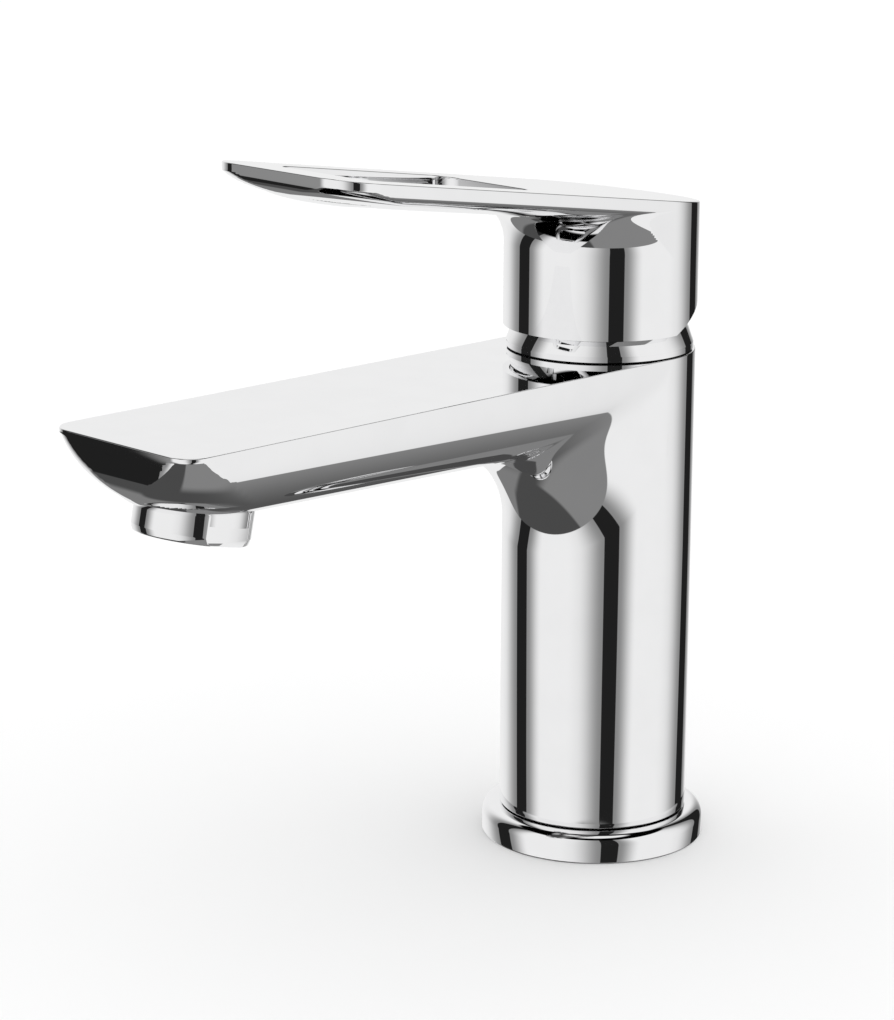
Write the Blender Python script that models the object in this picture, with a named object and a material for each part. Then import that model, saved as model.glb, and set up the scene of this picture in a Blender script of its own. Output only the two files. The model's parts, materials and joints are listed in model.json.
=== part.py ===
"""Single-lever basin mixer, taken apart into the pieces it is assembled from.

The origin is on the column's axis at the underside of the base ring, +Z is up and the spout points to -Y.
The model is mirror-symmetric about X = 0 and is shown with the lever down, in its closed position.
"""

import math

import bmesh
import bpy
from mathutils import Matrix, Vector

MM = 0.001

# Clearances between neighbouring pieces.
GAP = 0.3 * MM
SLIDE_GAP = 0.4 * MM
OVERRUN = 3.0 * MM

# Base ring and seal.
RING_STEP = 4.2 * MM
RING_HEIGHT = 7.0 * MM
RING_EDGE = 2.7 * MM
SEAL_WIDTH = 4.0 * MM
SEAL_THICKNESS = 1.7 * MM

# Column of the body.
BODY_DIAMETER = 45.0 * MM
BODY_TOP = 119.6 * MM
FOOT_SPIGOT_STEP = 2.5 * MM
FOOT_SPIGOT_CLEAR = 1.0 * MM
FOOT_WALL = 3.0 * MM
FLOOR_THICKNESS = 12.0 * MM

# Spout: a flat top, upright edges and a rounded keel.
SPOUT_INSET = 0.1 * MM
SPOUT_REACH = 145.7 * MM
SPOUT_EDGE = 0.6 * MM
SPOUT_DEPTH_TIP = 17.0 * MM
SPOUT_DEPTH_ROOT = 20.4 * MM
SPOUT_BOW = 20.0 * MM
SPOUT_CORNER = 6.0 * MM
SPOUT_NECK_RADIUS = 18.0 * MM
SPOUT_NECK_INSET = 5.4 * MM
KEEL_FULLNESS = 2.6
BOW_FULLNESS = 2.34

# Waterway: a riser beside the cartridge, then a bent duct to the aerator.
RISER_DIAMETER = 10.0 * MM
RISER_DEPTH = 1.4 * MM
DUCT_DIAMETER = 10.0 * MM
DUCT_DROP = 10.6 * MM
DUCT_BEND_REACH = 50.0 * MM
DUCT_MOUTH_DROP = 21.6 * MM

# Aerator, on an axis that leans outwards.
AERATOR_FROM_TIP = 19.3 * MM
AERATOR_BELOW_KEEL = 5.8 * MM
AERATOR_LEAN = math.radians(12)
AERATOR_DIAMETER = 25.5 * MM
AERATOR_SKIRT = 7.9 * MM
AERATOR_SHOULDER = 1.25 * MM
AERATOR_THREAD_LENGTH = 5.6 * MM
AERATOR_WALL = 1.3 * MM
AERATOR_LIP_WIDTH = 1.2 * MM
AERATOR_LIP = 1.2 * MM
AERATOR_FLAT_DEPTH = 1.35 * MM
AERATOR_FLAT_HEIGHT = 4.2 * MM
INSERT_HEIGHT = 5.0 * MM
INSERT_HOLE = 2.6 * MM
INSERT_PITCH = 3.6 * MM
INSERT_RINGS = 2
SCREEN_THICKNESS = 0.8 * MM
GASKET_THICKNESS = 1.6 * MM
GASKET_WIDTH = 1.3 * MM

# Inlets and fixing hole under the chamber's floor.
INLET_THREAD_DIAMETER = 9.2 * MM
INLET_SPACING = 13.2 * MM
INLET_OFFSET = 3.0 * MM
INLET_DEPTH = 8.0 * MM
PORT_DIAMETER = 4.8 * MM
PORT_SPACING = 9.2 * MM
PORT_OFFSET = 5.0 * MM
STUD_DIAMETER = 6.8 * MM
STUD_OFFSET = 9.0 * MM
STUD_DEPTH = 9.0 * MM

# Cartridge, from the chamber's floor upwards.
CHAMBER_DEPTH = 43.6 * MM
CARTRIDGE_DIAMETER = 35.0 * MM
CHAMBER_CLEAR = 0.6 * MM
PORT_SEAL_DIAMETER = 7.8 * MM
PORT_SEAL_HOLE = 5.2 * MM
PORT_SEAL_THICKNESS = 1.7 * MM
CARTRIDGE_BASE_HEIGHT = 5.6 * MM
PEG_DIAMETER = 3.0 * MM
PEG_LENGTH = 2.0 * MM
PEG_SPACING = 18.0 * MM
PEG_OFFSET = 7.0 * MM
DISC_THICKNESS = 2.7 * MM
DISC_HOLE = 4.0 * MM
DISC_HOLE_SPACING = 7.2 * MM
OUTLET_HOLE = 4.2 * MM
MOVING_DISC_MARGIN = 0.55 * MM
MIXING_POCKET_WIDTH = 11.6 * MM
MIXING_POCKET_LENGTH = 10.4 * MM
MIXING_POCKET_DEPTH = 1.5 * MM
CARRIER_INSET = 0.5 * MM
CARRIER_HEIGHT = 7.8 * MM
CARRIER_SLOT_FLOOR = 2.4 * MM
SLIDE_TRAVEL = 5.9 * MM
HOUSING_WALL = 2.3 * MM
HOUSING_SHOULDER = 3.4 * MM
HOUSING_NECK_DIAMETER = 22.4 * MM
HOUSING_NECK_HEIGHT = 4.8 * MM
ORING_SECTION = 1.5 * MM
ORING_BELOW_SHOULDER = 8.7 * MM
TURRET_SIDE_CLEAR = 1.6 * MM
TURRET_FLANGE_HEIGHT = 6.0 * MM
TURRET_NECK_DIAMETER = 18.0 * MM
TURRET_NECK_HEIGHT = 10.0 * MM
TURRET_LUG_THICKNESS = 1.5 * MM
TURRET_LUG_WIDTH = 11.0 * MM
TURRET_LUG_LENGTH = 6.0 * MM
NUT_SHELF = 0.8 * MM
NUT_HEIGHT = 6.5 * MM
NUT_WALL = 2.4 * MM
NUT_HEX_HEIGHT = 3.8 * MM

# Spindle and its pivot.
TILT = math.radians(25)
PIVOT_ABOVE_SHOULDER = 4.6 * MM
SPINDLE_SQUARE = 7.0 * MM
SPINDLE_ARM = 13.5 * MM
SPINDLE_ARM_DIAMETER = 4.8 * MM
SPINDLE_BALL_DIAMETER = 5.2 * MM
SPINDLE_SQUARE_BELOW = 6.5 * MM
SPINDLE_BELOW_CEILING = 3.5 * MM
PIN_DIAMETER = 3.0 * MM
PIN_LENGTH = 16.4 * MM

# Dome cover and its slide ring.
DOME_LIP_INSET = 0.5 * MM
DOME_LIP_HEIGHT = 0.5 * MM
DOME_NECK_INSET = 1.4 * MM
DOME_HEIGHT = 5.4 * MM
DOME_OPENING_INSET = 3.6 * MM
DOME_WALL = 1.6 * MM
DOME_SPIGOT_WALL = 1.4 * MM
DOME_SPIGOT_DEPTH = 1.8 * MM
DOME_SEAL_THICKNESS = 0.6 * MM
DOME_SEAL_WIDTH = 2.0 * MM

# Handle: a cup whose sloping flat top runs on into the lever.
HANDLE_OVERHANG = 0.25 * MM
HANDLE_BOTTOM = 5.4 * MM
HANDLE_HEIGHT = 36.8 * MM
HANDLE_SLOPE = 0.1475
HANDLE_SKIRT_WALL = 1.55 * MM
HANDLE_SKIRT_HEIGHT = 5.5 * MM
HANDLE_WALL = 3.75 * MM
HANDLE_CROWN = 7.9 * MM
HANDLE_RELIEF_START = 1.5 * MM
LEVER_INSET = 0.15 * MM
LEVER_REACH = 101.6 * MM
LEVER_EDGE = 1.9 * MM
LEVER_DEPTH = 4.7 * MM
LEVER_BOW = 14.0 * MM
LEVER_CORNER = 9.0 * MM
LEVER_NECK_RADIUS = 8.0 * MM
LEVER_NECK_INSET = 2.6 * MM
LOOP_SIDE = 7.6 * MM
LOOP_START = 37.0 * MM
LOOP_FROM_TIP = 12.6 * MM
LOOP_CORNER = 5.0 * MM
BOSS_DIAMETER = 18.0 * MM
BOSS_LENGTH = 13.5 * MM
SLEEVE_WALL = 0.7 * MM
SCREW_ABOVE_BOSS = 5.5 * MM
SCREW_DIAMETER = 5.0 * MM
SCREW_LENGTH = 6.7 * MM
SCREW_HEX = 2.5 * MM
SCREW_HEX_DEPTH = 2.5 * MM
PLUG_DIAMETER = 7.2 * MM
PLUG_LENGTH = 3.2 * MM

# The two sides of a mirrored feature.
SIDES = (("hot", -1), ("cold", 1))

# Facets round a large, a middling and a small circle.
ROUND = 48
MEDIUM = 32
SMALL = 16

# Places worked out from the sizes above.
BODY_RADIUS = BODY_DIAMETER / 2
RING_RADIUS = BODY_RADIUS + RING_STEP
FOOT_SPIGOT_RADIUS = BODY_RADIUS - FOOT_SPIGOT_STEP
FOOT_HOLLOW_RADIUS = FOOT_SPIGOT_RADIUS - FOOT_WALL
CHAMBER_FLOOR = BODY_TOP - CHAMBER_DEPTH
FLOOR_UNDERSIDE = CHAMBER_FLOOR - FLOOR_THICKNESS
SPOUT_WIDTH = BODY_DIAMETER - 2 * SPOUT_INSET
SPOUT_DROP = (SPOUT_DEPTH_ROOT - SPOUT_DEPTH_TIP) / (SPOUT_REACH - BODY_RADIUS)
AERATOR_REACH = SPOUT_REACH - AERATOR_FROM_TIP
AERATOR_BOTTOM = BODY_TOP - SPOUT_EDGE - SPOUT_DEPTH_TIP - AERATOR_BELOW_KEEL
AERATOR_RADIUS = AERATOR_DIAMETER / 2
AERATOR_THREAD_RADIUS = AERATOR_RADIUS - AERATOR_SHOULDER
AERATOR_BORE_RADIUS = AERATOR_THREAD_RADIUS - AERATOR_WALL
CARTRIDGE_RADIUS = CARTRIDGE_DIAMETER / 2
CHAMBER_RADIUS = CARTRIDGE_RADIUS + CHAMBER_CLEAR
RISER_OFFSET = CHAMBER_RADIUS + RISER_DEPTH - RISER_DIAMETER / 2
HOUSING_BORE_RADIUS = CARTRIDGE_RADIUS - HOUSING_WALL
FIXED_DISC_RADIUS = HOUSING_BORE_RADIUS - SLIDE_GAP
MOVING_DISC_RADIUS = FIXED_DISC_RADIUS - SLIDE_TRAVEL / 2 - MOVING_DISC_MARGIN
TURRET_FLANGE_RADIUS = HOUSING_BORE_RADIUS - TURRET_SIDE_CLEAR
NUT_THREAD_RADIUS = CHAMBER_RADIUS + NUT_SHELF
THREAD_BORE_RADIUS = NUT_THREAD_RADIUS + GAP
CARTRIDGE_BASE_UNDERSIDE = CHAMBER_FLOOR + 2 * GAP
CARTRIDGE_BASE_TOP = CARTRIDGE_BASE_UNDERSIDE + CARTRIDGE_BASE_HEIGHT
FIXED_DISC_BOTTOM = CARTRIDGE_BASE_TOP + GAP
MOVING_DISC_BOTTOM = FIXED_DISC_BOTTOM + DISC_THICKNESS + GAP
CARRIER_BOTTOM = MOVING_DISC_BOTTOM + DISC_THICKNESS + GAP
CARRIER_TOP = CARRIER_BOTTOM + CARRIER_HEIGHT
CARRIER_REST = SLIDE_TRAVEL / 2
TURRET_BOTTOM = CARRIER_TOP + 2 * GAP
TURRET_SHOULDER = TURRET_BOTTOM + TURRET_FLANGE_HEIGHT
HOUSING_CEILING = TURRET_SHOULDER + GAP
HOUSING_TOP = HOUSING_CEILING + HOUSING_SHOULDER
HOUSING_NECK_BORE = TURRET_NECK_DIAMETER / 2 + SLIDE_GAP
NUT_BOTTOM = HOUSING_TOP + GAP
NUT_BORE = HOUSING_NECK_DIAMETER / 2 + SLIDE_GAP
PIVOT = TURRET_SHOULDER + PIVOT_ABOVE_SHOULDER
DOME_SEAL_BOTTOM = BODY_TOP + GAP
DOME_BOTTOM = DOME_SEAL_BOTTOM + DOME_SEAL_THICKNESS + GAP
DOME_NECK_TOP = BODY_TOP + DOME_HEIGHT
DOME_LIP_RADIUS = BODY_RADIUS - DOME_LIP_INSET
DOME_NECK_RADIUS = DOME_LIP_RADIUS - DOME_NECK_INSET
HANDLE_RADIUS = BODY_RADIUS + HANDLE_OVERHANG
HANDLE_TOP_AT_AXIS = BODY_TOP + HANDLE_HEIGHT
HANDLE_CEILING = HANDLE_TOP_AT_AXIS - HANDLE_CROWN
BOSS_BOTTOM = HANDLE_CEILING - BOSS_LENGTH
SCREW_HEIGHT = BOSS_BOTTOM + SCREW_ABOVE_BOSS
SPINDLE_TOP = HANDLE_CEILING - SPINDLE_BELOW_CEILING
LEVER_WIDTH = 2 * (HANDLE_RADIUS - LEVER_INSET)
LOOP_END = LEVER_REACH - LOOP_FROM_TIP
HANDLE_LOWER_EDGE = BODY_TOP + HANDLE_BOTTOM
SKIRT_BORE = HANDLE_RADIUS - HANDLE_SKIRT_WALL
SLEEVE_HALF = SPINDLE_SQUARE / 2 + GAP + SLEEVE_WALL
AERATOR_FRAME = Matrix.Translation((0, -AERATOR_REACH, AERATOR_BOTTOM)) @ Matrix.Rotation(-AERATOR_LEAN, 4, "X")


def clear_scene():
    for obj in list(bpy.data.objects):
        bpy.data.objects.remove(obj, do_unlink=True)


def collection(name):
    made = bpy.data.collections.new(name)
    bpy.context.scene.collection.children.link(made)
    return made


def material(name, colour, metallic, roughness):
    made = bpy.data.materials.new(name)
    made.use_nodes = True
    shader = made.node_tree.nodes["Principled BSDF"]
    shader.inputs["Base Color"].default_value = (*colour, 1)
    shader.inputs["Metallic"].default_value = metallic
    shader.inputs["Roughness"].default_value = roughness
    made.diffuse_color = (*colour, 1)
    return made


# --- Outlines ---


def circle(radius, steps=ROUND, centre=(0, 0)):
    turns = [math.tau * step / steps for step in range(steps)]
    return [(centre[0] + radius * math.cos(turn), centre[1] + radius * math.sin(turn)) for turn in turns]


def rectangle(half_x, half_y, centre=(0, 0)):
    corners = [(half_x, half_y), (-half_x, half_y), (-half_x, -half_y), (half_x, -half_y)]
    return [(centre[0] + x, centre[1] + y) for x, y in corners]


def rounded_rectangle(half_x, half_y, radius, centre=(0, 0), corner_steps=5):
    outline = []
    for quarter, (x, y) in enumerate(rectangle(half_x - radius, half_y - radius, centre)):
        for step in range(corner_steps + 1):
            turn = math.pi / 2 * (quarter + step / corner_steps)
            outline.append((x + radius * math.cos(turn), y + radius * math.sin(turn)))
    return outline


def hexagon(across_flats, centre=(0, 0)):
    return circle(across_flats / math.sqrt(3), 6, centre)


def arc(centre, radius, start, end, steps):
    """Points of an arc in (radius, height), between two angles in degrees."""
    turns = [math.radians(start + (end - start) * step / steps) for step in range(steps + 1)]
    return [(centre[0] + radius * math.cos(turn), centre[1] + radius * math.sin(turn)) for turn in turns]


def at_height(outline, height):
    return [(x, y, height) for x, y in outline]


# --- Solids as bmeshes ---


def turned(profile, steps=ROUND):
    """A (radius, height) outline spun about Z. An outline that starts and ends on the axis stays open there."""
    mesh = bmesh.new()
    points = [mesh.verts.new((radius, 0, height)) for radius, height in profile]
    pairs = list(zip(points, points[1:]))
    if profile[0][0] > 0:
        pairs.append((points[-1], points[0]))
    edges = [mesh.edges.new(pair) for pair in pairs]
    bmesh.ops.spin(
        mesh, geom=points + edges, axis=(0, 0, 1), cent=(0, 0, 0), angle=math.tau, steps=steps, use_merge=True
    )
    bmesh.ops.remove_doubles(mesh, verts=mesh.verts, dist=0.001 * MM)
    bmesh.ops.recalc_face_normals(mesh, faces=mesh.faces)
    return mesh


def stacked(rings):
    """A solid through rings of equal length, closed by its first and last ring."""
    mesh = bmesh.new()
    loops = [[mesh.verts.new(point) for point in ring] for ring in rings]
    for lower, upper in zip(loops, loops[1:]):
        for index, corner in enumerate(lower):
            mesh.faces.new((lower[index - 1], corner, upper[index], upper[index - 1]))
    mesh.faces.new(loops[0])
    mesh.faces.new(loops[-1])
    bmesh.ops.recalc_face_normals(mesh, faces=mesh.faces)
    return mesh


def prism(outline, low, high):
    return stacked([at_height(outline, low), at_height(outline, high)])


def rod(start, end, radius, steps=SMALL):
    """A round bar between two points."""
    run = Vector(end) - Vector(start)
    mesh = prism(circle(radius, steps), 0, run.length)
    turn = run.to_track_quat("Z", "Y").to_matrix().to_4x4()
    mesh.transform(Matrix.Translation(start) @ turn)
    return mesh


def block(low, high):
    outline = [(low[0], low[1]), (high[0], low[1]), (high[0], high[1]), (low[0], high[1])]
    return prism(outline, low[2], high[2])


def side_cut(outline, half_width):
    """A (y, z) outline run along X, to half_width each way."""
    return stacked([[(x, y, z) for y, z in outline] for x in (-half_width, half_width)])


def hull(width, reach, edge, depth_tip, drop, bow, corner, top):
    """A bar that runs from the axis to -Y: flat top, upright edge, and a keel that rises in a bow at the tip.

    top(y) is the height of its top face, and drop is how much deeper the keel gets for each metre towards the axis.
    """
    rings = []
    half = width / 2
    levels = [0.0] + [math.radians(angle) for angle in (0, 15, 30, 45, 60, 74, 84)]
    for number, level in enumerate(levels):
        across = half * math.cos(level) ** (2 / KEEL_FULLNESS)
        down = math.sin(level) ** (2 / KEEL_FULLNESS)
        front = -reach + bow * (1 - math.cos(level) ** (2 / BOW_FULLNESS))
        round_off = min(corner + (half - corner) * down, 0.9 * across)
        ring = []
        for side in (1, -1):
            arc_points = [(side * across, 0.0)]
            for step in range(6):
                turn = math.pi / 2 * step / 5
                x = across - round_off + round_off * math.cos(turn)
                arc_points.append((side * x, front + round_off * (1 - math.sin(turn))))
            ring += arc_points if side > 0 else arc_points[::-1]
        lift = 0.0 if number == 0 else edge
        rings.append([(x, y, top(y) - lift - (depth_tip + drop * (y + reach)) * down) for x, y in ring])
    return stacked(rings)


def neck(radius, width, fillet, start, overlap, top):
    """The web under a hull where it leaves a column: the column's outline, swelling forward along a fillet."""
    rings = []
    stages = [math.radians(angle) for angle in (0, 20, 38, 54, 68, 80)]
    for number, stage in enumerate([*stages, stages[-1]]):
        swell = fillet * (1 - math.cos(stage))
        rise = fillet * math.sin(stage) + (overlap if number == len(stages) else 0.0)
        ring = []
        for x, y in circle(radius - GAP / 2):
            forward = swell * max(0.0, 1 - (2 * x / width) ** 2) if y < 0 else 0.0
            ring.append((x, y - forward, start + rise + top(y - forward)))
        rings.append(ring)
    return stacked(rings)


def tube_path(points, radius, steps=SMALL):
    """A pipe of one radius through points in the plane X = 0, with its ends cut square."""
    rings = []
    for index, point in enumerate(points):
        before = points[max(index - 1, 0)]
        after = points[min(index + 1, len(points) - 1)]
        lean = math.atan2(after[1] - before[1], after[0] - before[0])
        ring = []
        for x, side in circle(radius, steps):
            ring.append((x, point[0] - side * math.sin(lean), point[1] + side * math.cos(lean)))
        rings.append(ring)
    return stacked(rings)


# --- Objects ---


def add(name, mesh, finish, origin=(0, 0, 0), frame=None):
    """Makes an object from a bmesh drawn in place, with its origin at the given point."""
    if frame is not None:
        mesh.transform(frame)
    mesh.transform(Matrix.Translation(-Vector(origin)))
    data = bpy.data.meshes.new(name)
    mesh.to_mesh(data)
    mesh.free()
    data.shade_smooth()
    data.set_sharp_from_angle(angle=math.radians(35))
    data.materials.append(finish)
    obj = bpy.data.objects.new(name, data)
    obj.location = origin
    PARTS.objects.link(obj)
    return obj


def tool(name, mesh, frame=None):
    """A hidden helper that a Boolean uses."""
    if frame is not None:
        mesh.transform(frame)
    data = bpy.data.meshes.new(name)
    mesh.to_mesh(data)
    mesh.free()
    obj = bpy.data.objects.new(name, data)
    obj.hide_render = True
    obj.display_type = "WIRE"
    TOOLS.objects.link(obj)
    return obj


def combine(obj, operation, name, mesh, frame=None):
    helper = tool(obj.name + "_" + name, mesh, frame)
    helper.parent = obj
    helper.matrix_parent_inverse = Matrix.Translation(-obj.location)
    boolean = obj.modifiers.new(name, "BOOLEAN")
    boolean.operation = operation
    boolean.solver = "EXACT"
    boolean.object = helper


def cut(obj, name, mesh, frame=None):
    combine(obj, "DIFFERENCE", name, mesh, frame)


def join(obj, name, mesh, frame=None):
    combine(obj, "UNION", name, mesh, frame)


# --- Body and base ---


def level_top(_y):
    return BODY_TOP


def make_body(chrome):
    ring_top = RING_HEIGHT + GAP
    profile = [
        (0, FOOT_SPIGOT_CLEAR),
        (FOOT_SPIGOT_RADIUS, FOOT_SPIGOT_CLEAR),
        (FOOT_SPIGOT_RADIUS, ring_top),
        (BODY_RADIUS, ring_top),
        (BODY_RADIUS, BODY_TOP),
        (0, BODY_TOP),
    ]
    body = add("mixer_body", turned(profile), chrome)
    spout = hull(
        SPOUT_WIDTH,
        SPOUT_REACH,
        SPOUT_EDGE,
        SPOUT_DEPTH_TIP,
        SPOUT_DROP,
        SPOUT_BOW,
        SPOUT_CORNER,
        level_top,
    )
    join(body, "spout", spout)
    start = -SPOUT_EDGE - SPOUT_DEPTH_ROOT - SPOUT_NECK_RADIUS
    width = SPOUT_WIDTH - 2 * SPOUT_NECK_INSET
    web = neck(BODY_RADIUS, width, SPOUT_NECK_RADIUS, start, 8 * MM, level_top)
    join(body, "web", web)

    hollow = rod((0, 0, -OVERRUN), (0, 0, FLOOR_UNDERSIDE), FOOT_HOLLOW_RADIUS, MEDIUM)
    cut(body, "foot_hollow", hollow)
    chamber = [
        (0, CHAMBER_FLOOR),
        (CHAMBER_RADIUS, CHAMBER_FLOOR),
        (CHAMBER_RADIUS, HOUSING_TOP),
        (THREAD_BORE_RADIUS, HOUSING_TOP),
        (THREAD_BORE_RADIUS, BODY_TOP + OVERRUN),
        (0, BODY_TOP + OVERRUN),
    ]
    cut(body, "chamber", turned(chamber))
    for side, sign in SIDES:
        inlet = (sign * INLET_SPACING / 2, -INLET_OFFSET)
        low = (*inlet, FLOOR_UNDERSIDE - OVERRUN)
        cut(body, side + "_inlet", rod(low, (*inlet, FLOOR_UNDERSIDE + INLET_DEPTH), INLET_THREAD_DIAMETER / 2))
        port = (sign * PORT_SPACING / 2, -PORT_OFFSET)
        low = (*port, FLOOR_UNDERSIDE + INLET_DEPTH - GAP)
        cut(body, side + "_port", rod(low, (*port, CHAMBER_FLOOR + GAP), PORT_DIAMETER / 2))
        peg = (sign * PEG_SPACING / 2, PEG_OFFSET)
        low = (*peg, CHAMBER_FLOOR - PEG_LENGTH - GAP)
        cut(body, side + "_peg_hole", rod(low, (*peg, CHAMBER_FLOOR + GAP), PEG_DIAMETER / 2 + SLIDE_GAP))
    low = (0, STUD_OFFSET, FLOOR_UNDERSIDE - OVERRUN)
    cut(body, "stud_hole", rod(low, (0, STUD_OFFSET, FLOOR_UNDERSIDE + STUD_DEPTH), STUD_DIAMETER / 2))

    riser = rod(
        (0, -RISER_OFFSET, CHAMBER_FLOOR + OVERRUN / 2), (0, -RISER_OFFSET, HOUSING_CEILING), RISER_DIAMETER / 2
    )
    cut(body, "riser", riser)
    duct_height = BODY_TOP - DUCT_DROP
    route = [
        (-RISER_OFFSET, BODY_TOP - DUCT_MOUTH_DROP),
        (-DUCT_BEND_REACH, duct_height),
        (-AERATOR_REACH, duct_height),
    ]
    cut(body, "duct", tube_path(route, DUCT_DIAMETER / 2))
    seat = AERATOR_SKIRT + GAP
    bore = AERATOR_THREAD_RADIUS + GAP
    bore_top = seat + AERATOR_THREAD_LENGTH + GASKET_THICKNESS + 2 * GAP
    socket = [
        (0, -OVERRUN),
        (AERATOR_RADIUS + GAP, -OVERRUN),
        (AERATOR_RADIUS + GAP, seat),
        (bore, seat),
        (bore, bore_top),
        (0, bore_top),
    ]
    cut(body, "aerator_socket", turned(socket), AERATOR_FRAME)
    return body


def make_base(chrome, rubber):
    outer = RING_RADIUS
    bore = FOOT_SPIGOT_RADIUS + GAP
    groove = bore + SEAL_WIDTH + 2 * GAP
    foot_edge = 0.4 * MM
    profile = [
        (groove, 0),
        (outer - foot_edge, 0),
        (outer, foot_edge),
        *arc((outer - RING_EDGE, RING_HEIGHT - RING_EDGE), RING_EDGE, 0, 90, 4),
        (bore, RING_HEIGHT),
        (bore, SEAL_THICKNESS + GAP),
        (groove, SEAL_THICKNESS + GAP),
    ]
    add("base_ring", turned(profile), chrome)
    seal = [
        (bore + GAP, 0),
        (bore + GAP + SEAL_WIDTH, 0),
        (bore + GAP + SEAL_WIDTH, SEAL_THICKNESS),
        (bore + GAP, SEAL_THICKNESS),
    ]
    add("base_seal", turned(seal), rubber)


# --- Aerator ---


def ring_profile(inner, outer, low, high):
    return [(inner, low), (outer, low), (outer, high), (inner, high)]


def make_aerator(chrome, plastic, steel, rubber):
    bore = AERATOR_BORE_RADIUS
    lip = bore - AERATOR_LIP_WIDTH
    skirt = AERATOR_RADIUS
    chamfer = 0.7 * MM
    thread_top = AERATOR_SKIRT + AERATOR_THREAD_LENGTH
    profile = [
        (lip, 0),
        (skirt - chamfer, 0),
        (skirt, chamfer),
        (skirt, AERATOR_SKIRT),
        (AERATOR_THREAD_RADIUS, AERATOR_SKIRT),
        (AERATOR_THREAD_RADIUS, thread_top),
        (bore, thread_top),
        (bore, AERATOR_LIP),
        (lip, AERATOR_LIP),
    ]
    housing = add("aerator_housing", turned(profile), chrome, frame=AERATOR_FRAME)
    for side, sign in SIDES:
        near, far = sorted((sign * (skirt - AERATOR_FLAT_DEPTH), sign * AERATOR_DIAMETER))
        flat = block((near, -skirt, -OVERRUN), (far, skirt, AERATOR_FLAT_HEIGHT))
        cut(housing, side + "_flat", flat, AERATOR_FRAME)

    insert_low = AERATOR_LIP + GAP
    insert_high = insert_low + INSERT_HEIGHT
    insert = add(
        "aerator_insert",
        prism(circle(bore - GAP, MEDIUM), insert_low, insert_high),
        plastic,
        frame=AERATOR_FRAME,
    )
    for number, (x, y) in enumerate(honeycomb(INSERT_PITCH, INSERT_RINGS)):
        cell = prism(hexagon(INSERT_HOLE, (x, y)), 0, insert_high + OVERRUN)
        cut(insert, f"cell_{number}", cell, AERATOR_FRAME)
    screen_low = insert_high + GAP
    screen = prism(circle(bore - GAP, MEDIUM), screen_low, screen_low + SCREEN_THICKNESS)
    add("aerator_screen", screen, steel, frame=AERATOR_FRAME)
    outer = AERATOR_THREAD_RADIUS
    gasket_low = thread_top + GAP
    gasket = ring_profile(outer - GASKET_WIDTH, outer, gasket_low, gasket_low + GASKET_THICKNESS)
    add("aerator_gasket", turned(gasket, MEDIUM), rubber, frame=AERATOR_FRAME)


def honeycomb(pitch, rings):
    """Centres of a hexagonal pattern: one in the middle and a number of rings round it."""
    centres = []
    for q in range(-rings, rings + 1):
        for r in range(-rings, rings + 1):
            if abs(q + r) <= rings:
                centres.append((pitch * (q + r / 2), pitch * r * math.sqrt(3) / 2))
    return centres


# --- Cartridge ---


def make_cartridge_base(plastic, rubber):
    plate = prism(circle(CARTRIDGE_RADIUS), CARTRIDGE_BASE_UNDERSIDE, CARTRIDGE_BASE_TOP)
    base = add("cartridge_base", plate, plastic)
    pocket_top = CHAMBER_FLOOR + GAP + PORT_SEAL_THICKNESS + GAP
    passage = (DISC_HOLE_SPACING + PORT_SPACING) / 4
    for side, sign in SIDES:
        port = (sign * PORT_SPACING / 2, -PORT_OFFSET)
        pocket = rod(
            (*port, CARTRIDGE_BASE_UNDERSIDE - GAP), (*port, pocket_top), PORT_SEAL_DIAMETER / 2 + GAP, SMALL
        )
        cut(base, side + "_pocket", pocket)
        way = (sign * passage, -PORT_OFFSET)
        cut(base, side + "_way", rod((*way, CHAMBER_FLOOR), (*way, CARTRIDGE_BASE_TOP + GAP), DISC_HOLE / 2))
        peg = (sign * PEG_SPACING / 2, PEG_OFFSET)
        low = (*peg, CHAMBER_FLOOR - PEG_LENGTH)
        join(base, side + "_peg", rod(low, (*peg, CARTRIDGE_BASE_TOP - GAP), PEG_DIAMETER / 2))
        low = CHAMBER_FLOOR + GAP
        seal = ring_profile(PORT_SEAL_HOLE / 2, PORT_SEAL_DIAMETER / 2, low, low + PORT_SEAL_THICKNESS)
        mesh = turned(seal, SMALL)
        add(side + "_port_seal", mesh, rubber, frame=Matrix.Translation((*port, 0)))
    half = OUTLET_HOLE / 2 - GAP
    channel_low = pocket_top
    channel = block((-half, -CARTRIDGE_RADIUS - OVERRUN, channel_low), (half, half, CARTRIDGE_BASE_TOP - MM))
    cut(base, "outlet_channel", channel)
    cut(base, "outlet_hole", block((-half, -half, channel_low), (half, half, CARTRIDGE_BASE_TOP + GAP)))


def make_discs(ceramic):
    low, high = FIXED_DISC_BOTTOM, FIXED_DISC_BOTTOM + DISC_THICKNESS
    fixed = add("fixed_disc", prism(circle(FIXED_DISC_RADIUS, MEDIUM), low, high), ceramic)
    for side, sign in SIDES:
        hole = (sign * DISC_HOLE_SPACING / 2, -PORT_OFFSET)
        cut(fixed, side + "_hole", rod((*hole, low - GAP), (*hole, high + GAP), DISC_HOLE / 2))
    cut(fixed, "outlet_hole", rod((0, 0, low - GAP), (0, 0, high + GAP), OUTLET_HOLE / 2))

    low, high = MOVING_DISC_BOTTOM, MOVING_DISC_BOTTOM + DISC_THICKNESS
    outline = circle(MOVING_DISC_RADIUS, MEDIUM, (0, CARRIER_REST))
    moving = add("moving_disc", prism(outline, low, high), ceramic, origin=(0, CARRIER_REST, low))
    pocket = rounded_rectangle(
        MIXING_POCKET_WIDTH / 2, MIXING_POCKET_LENGTH / 2, DISC_HOLE / 2, (0, CARRIER_REST), 4
    )
    cut(moving, "mixing_pocket", prism(pocket, low - GAP, low + MIXING_POCKET_DEPTH))


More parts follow.
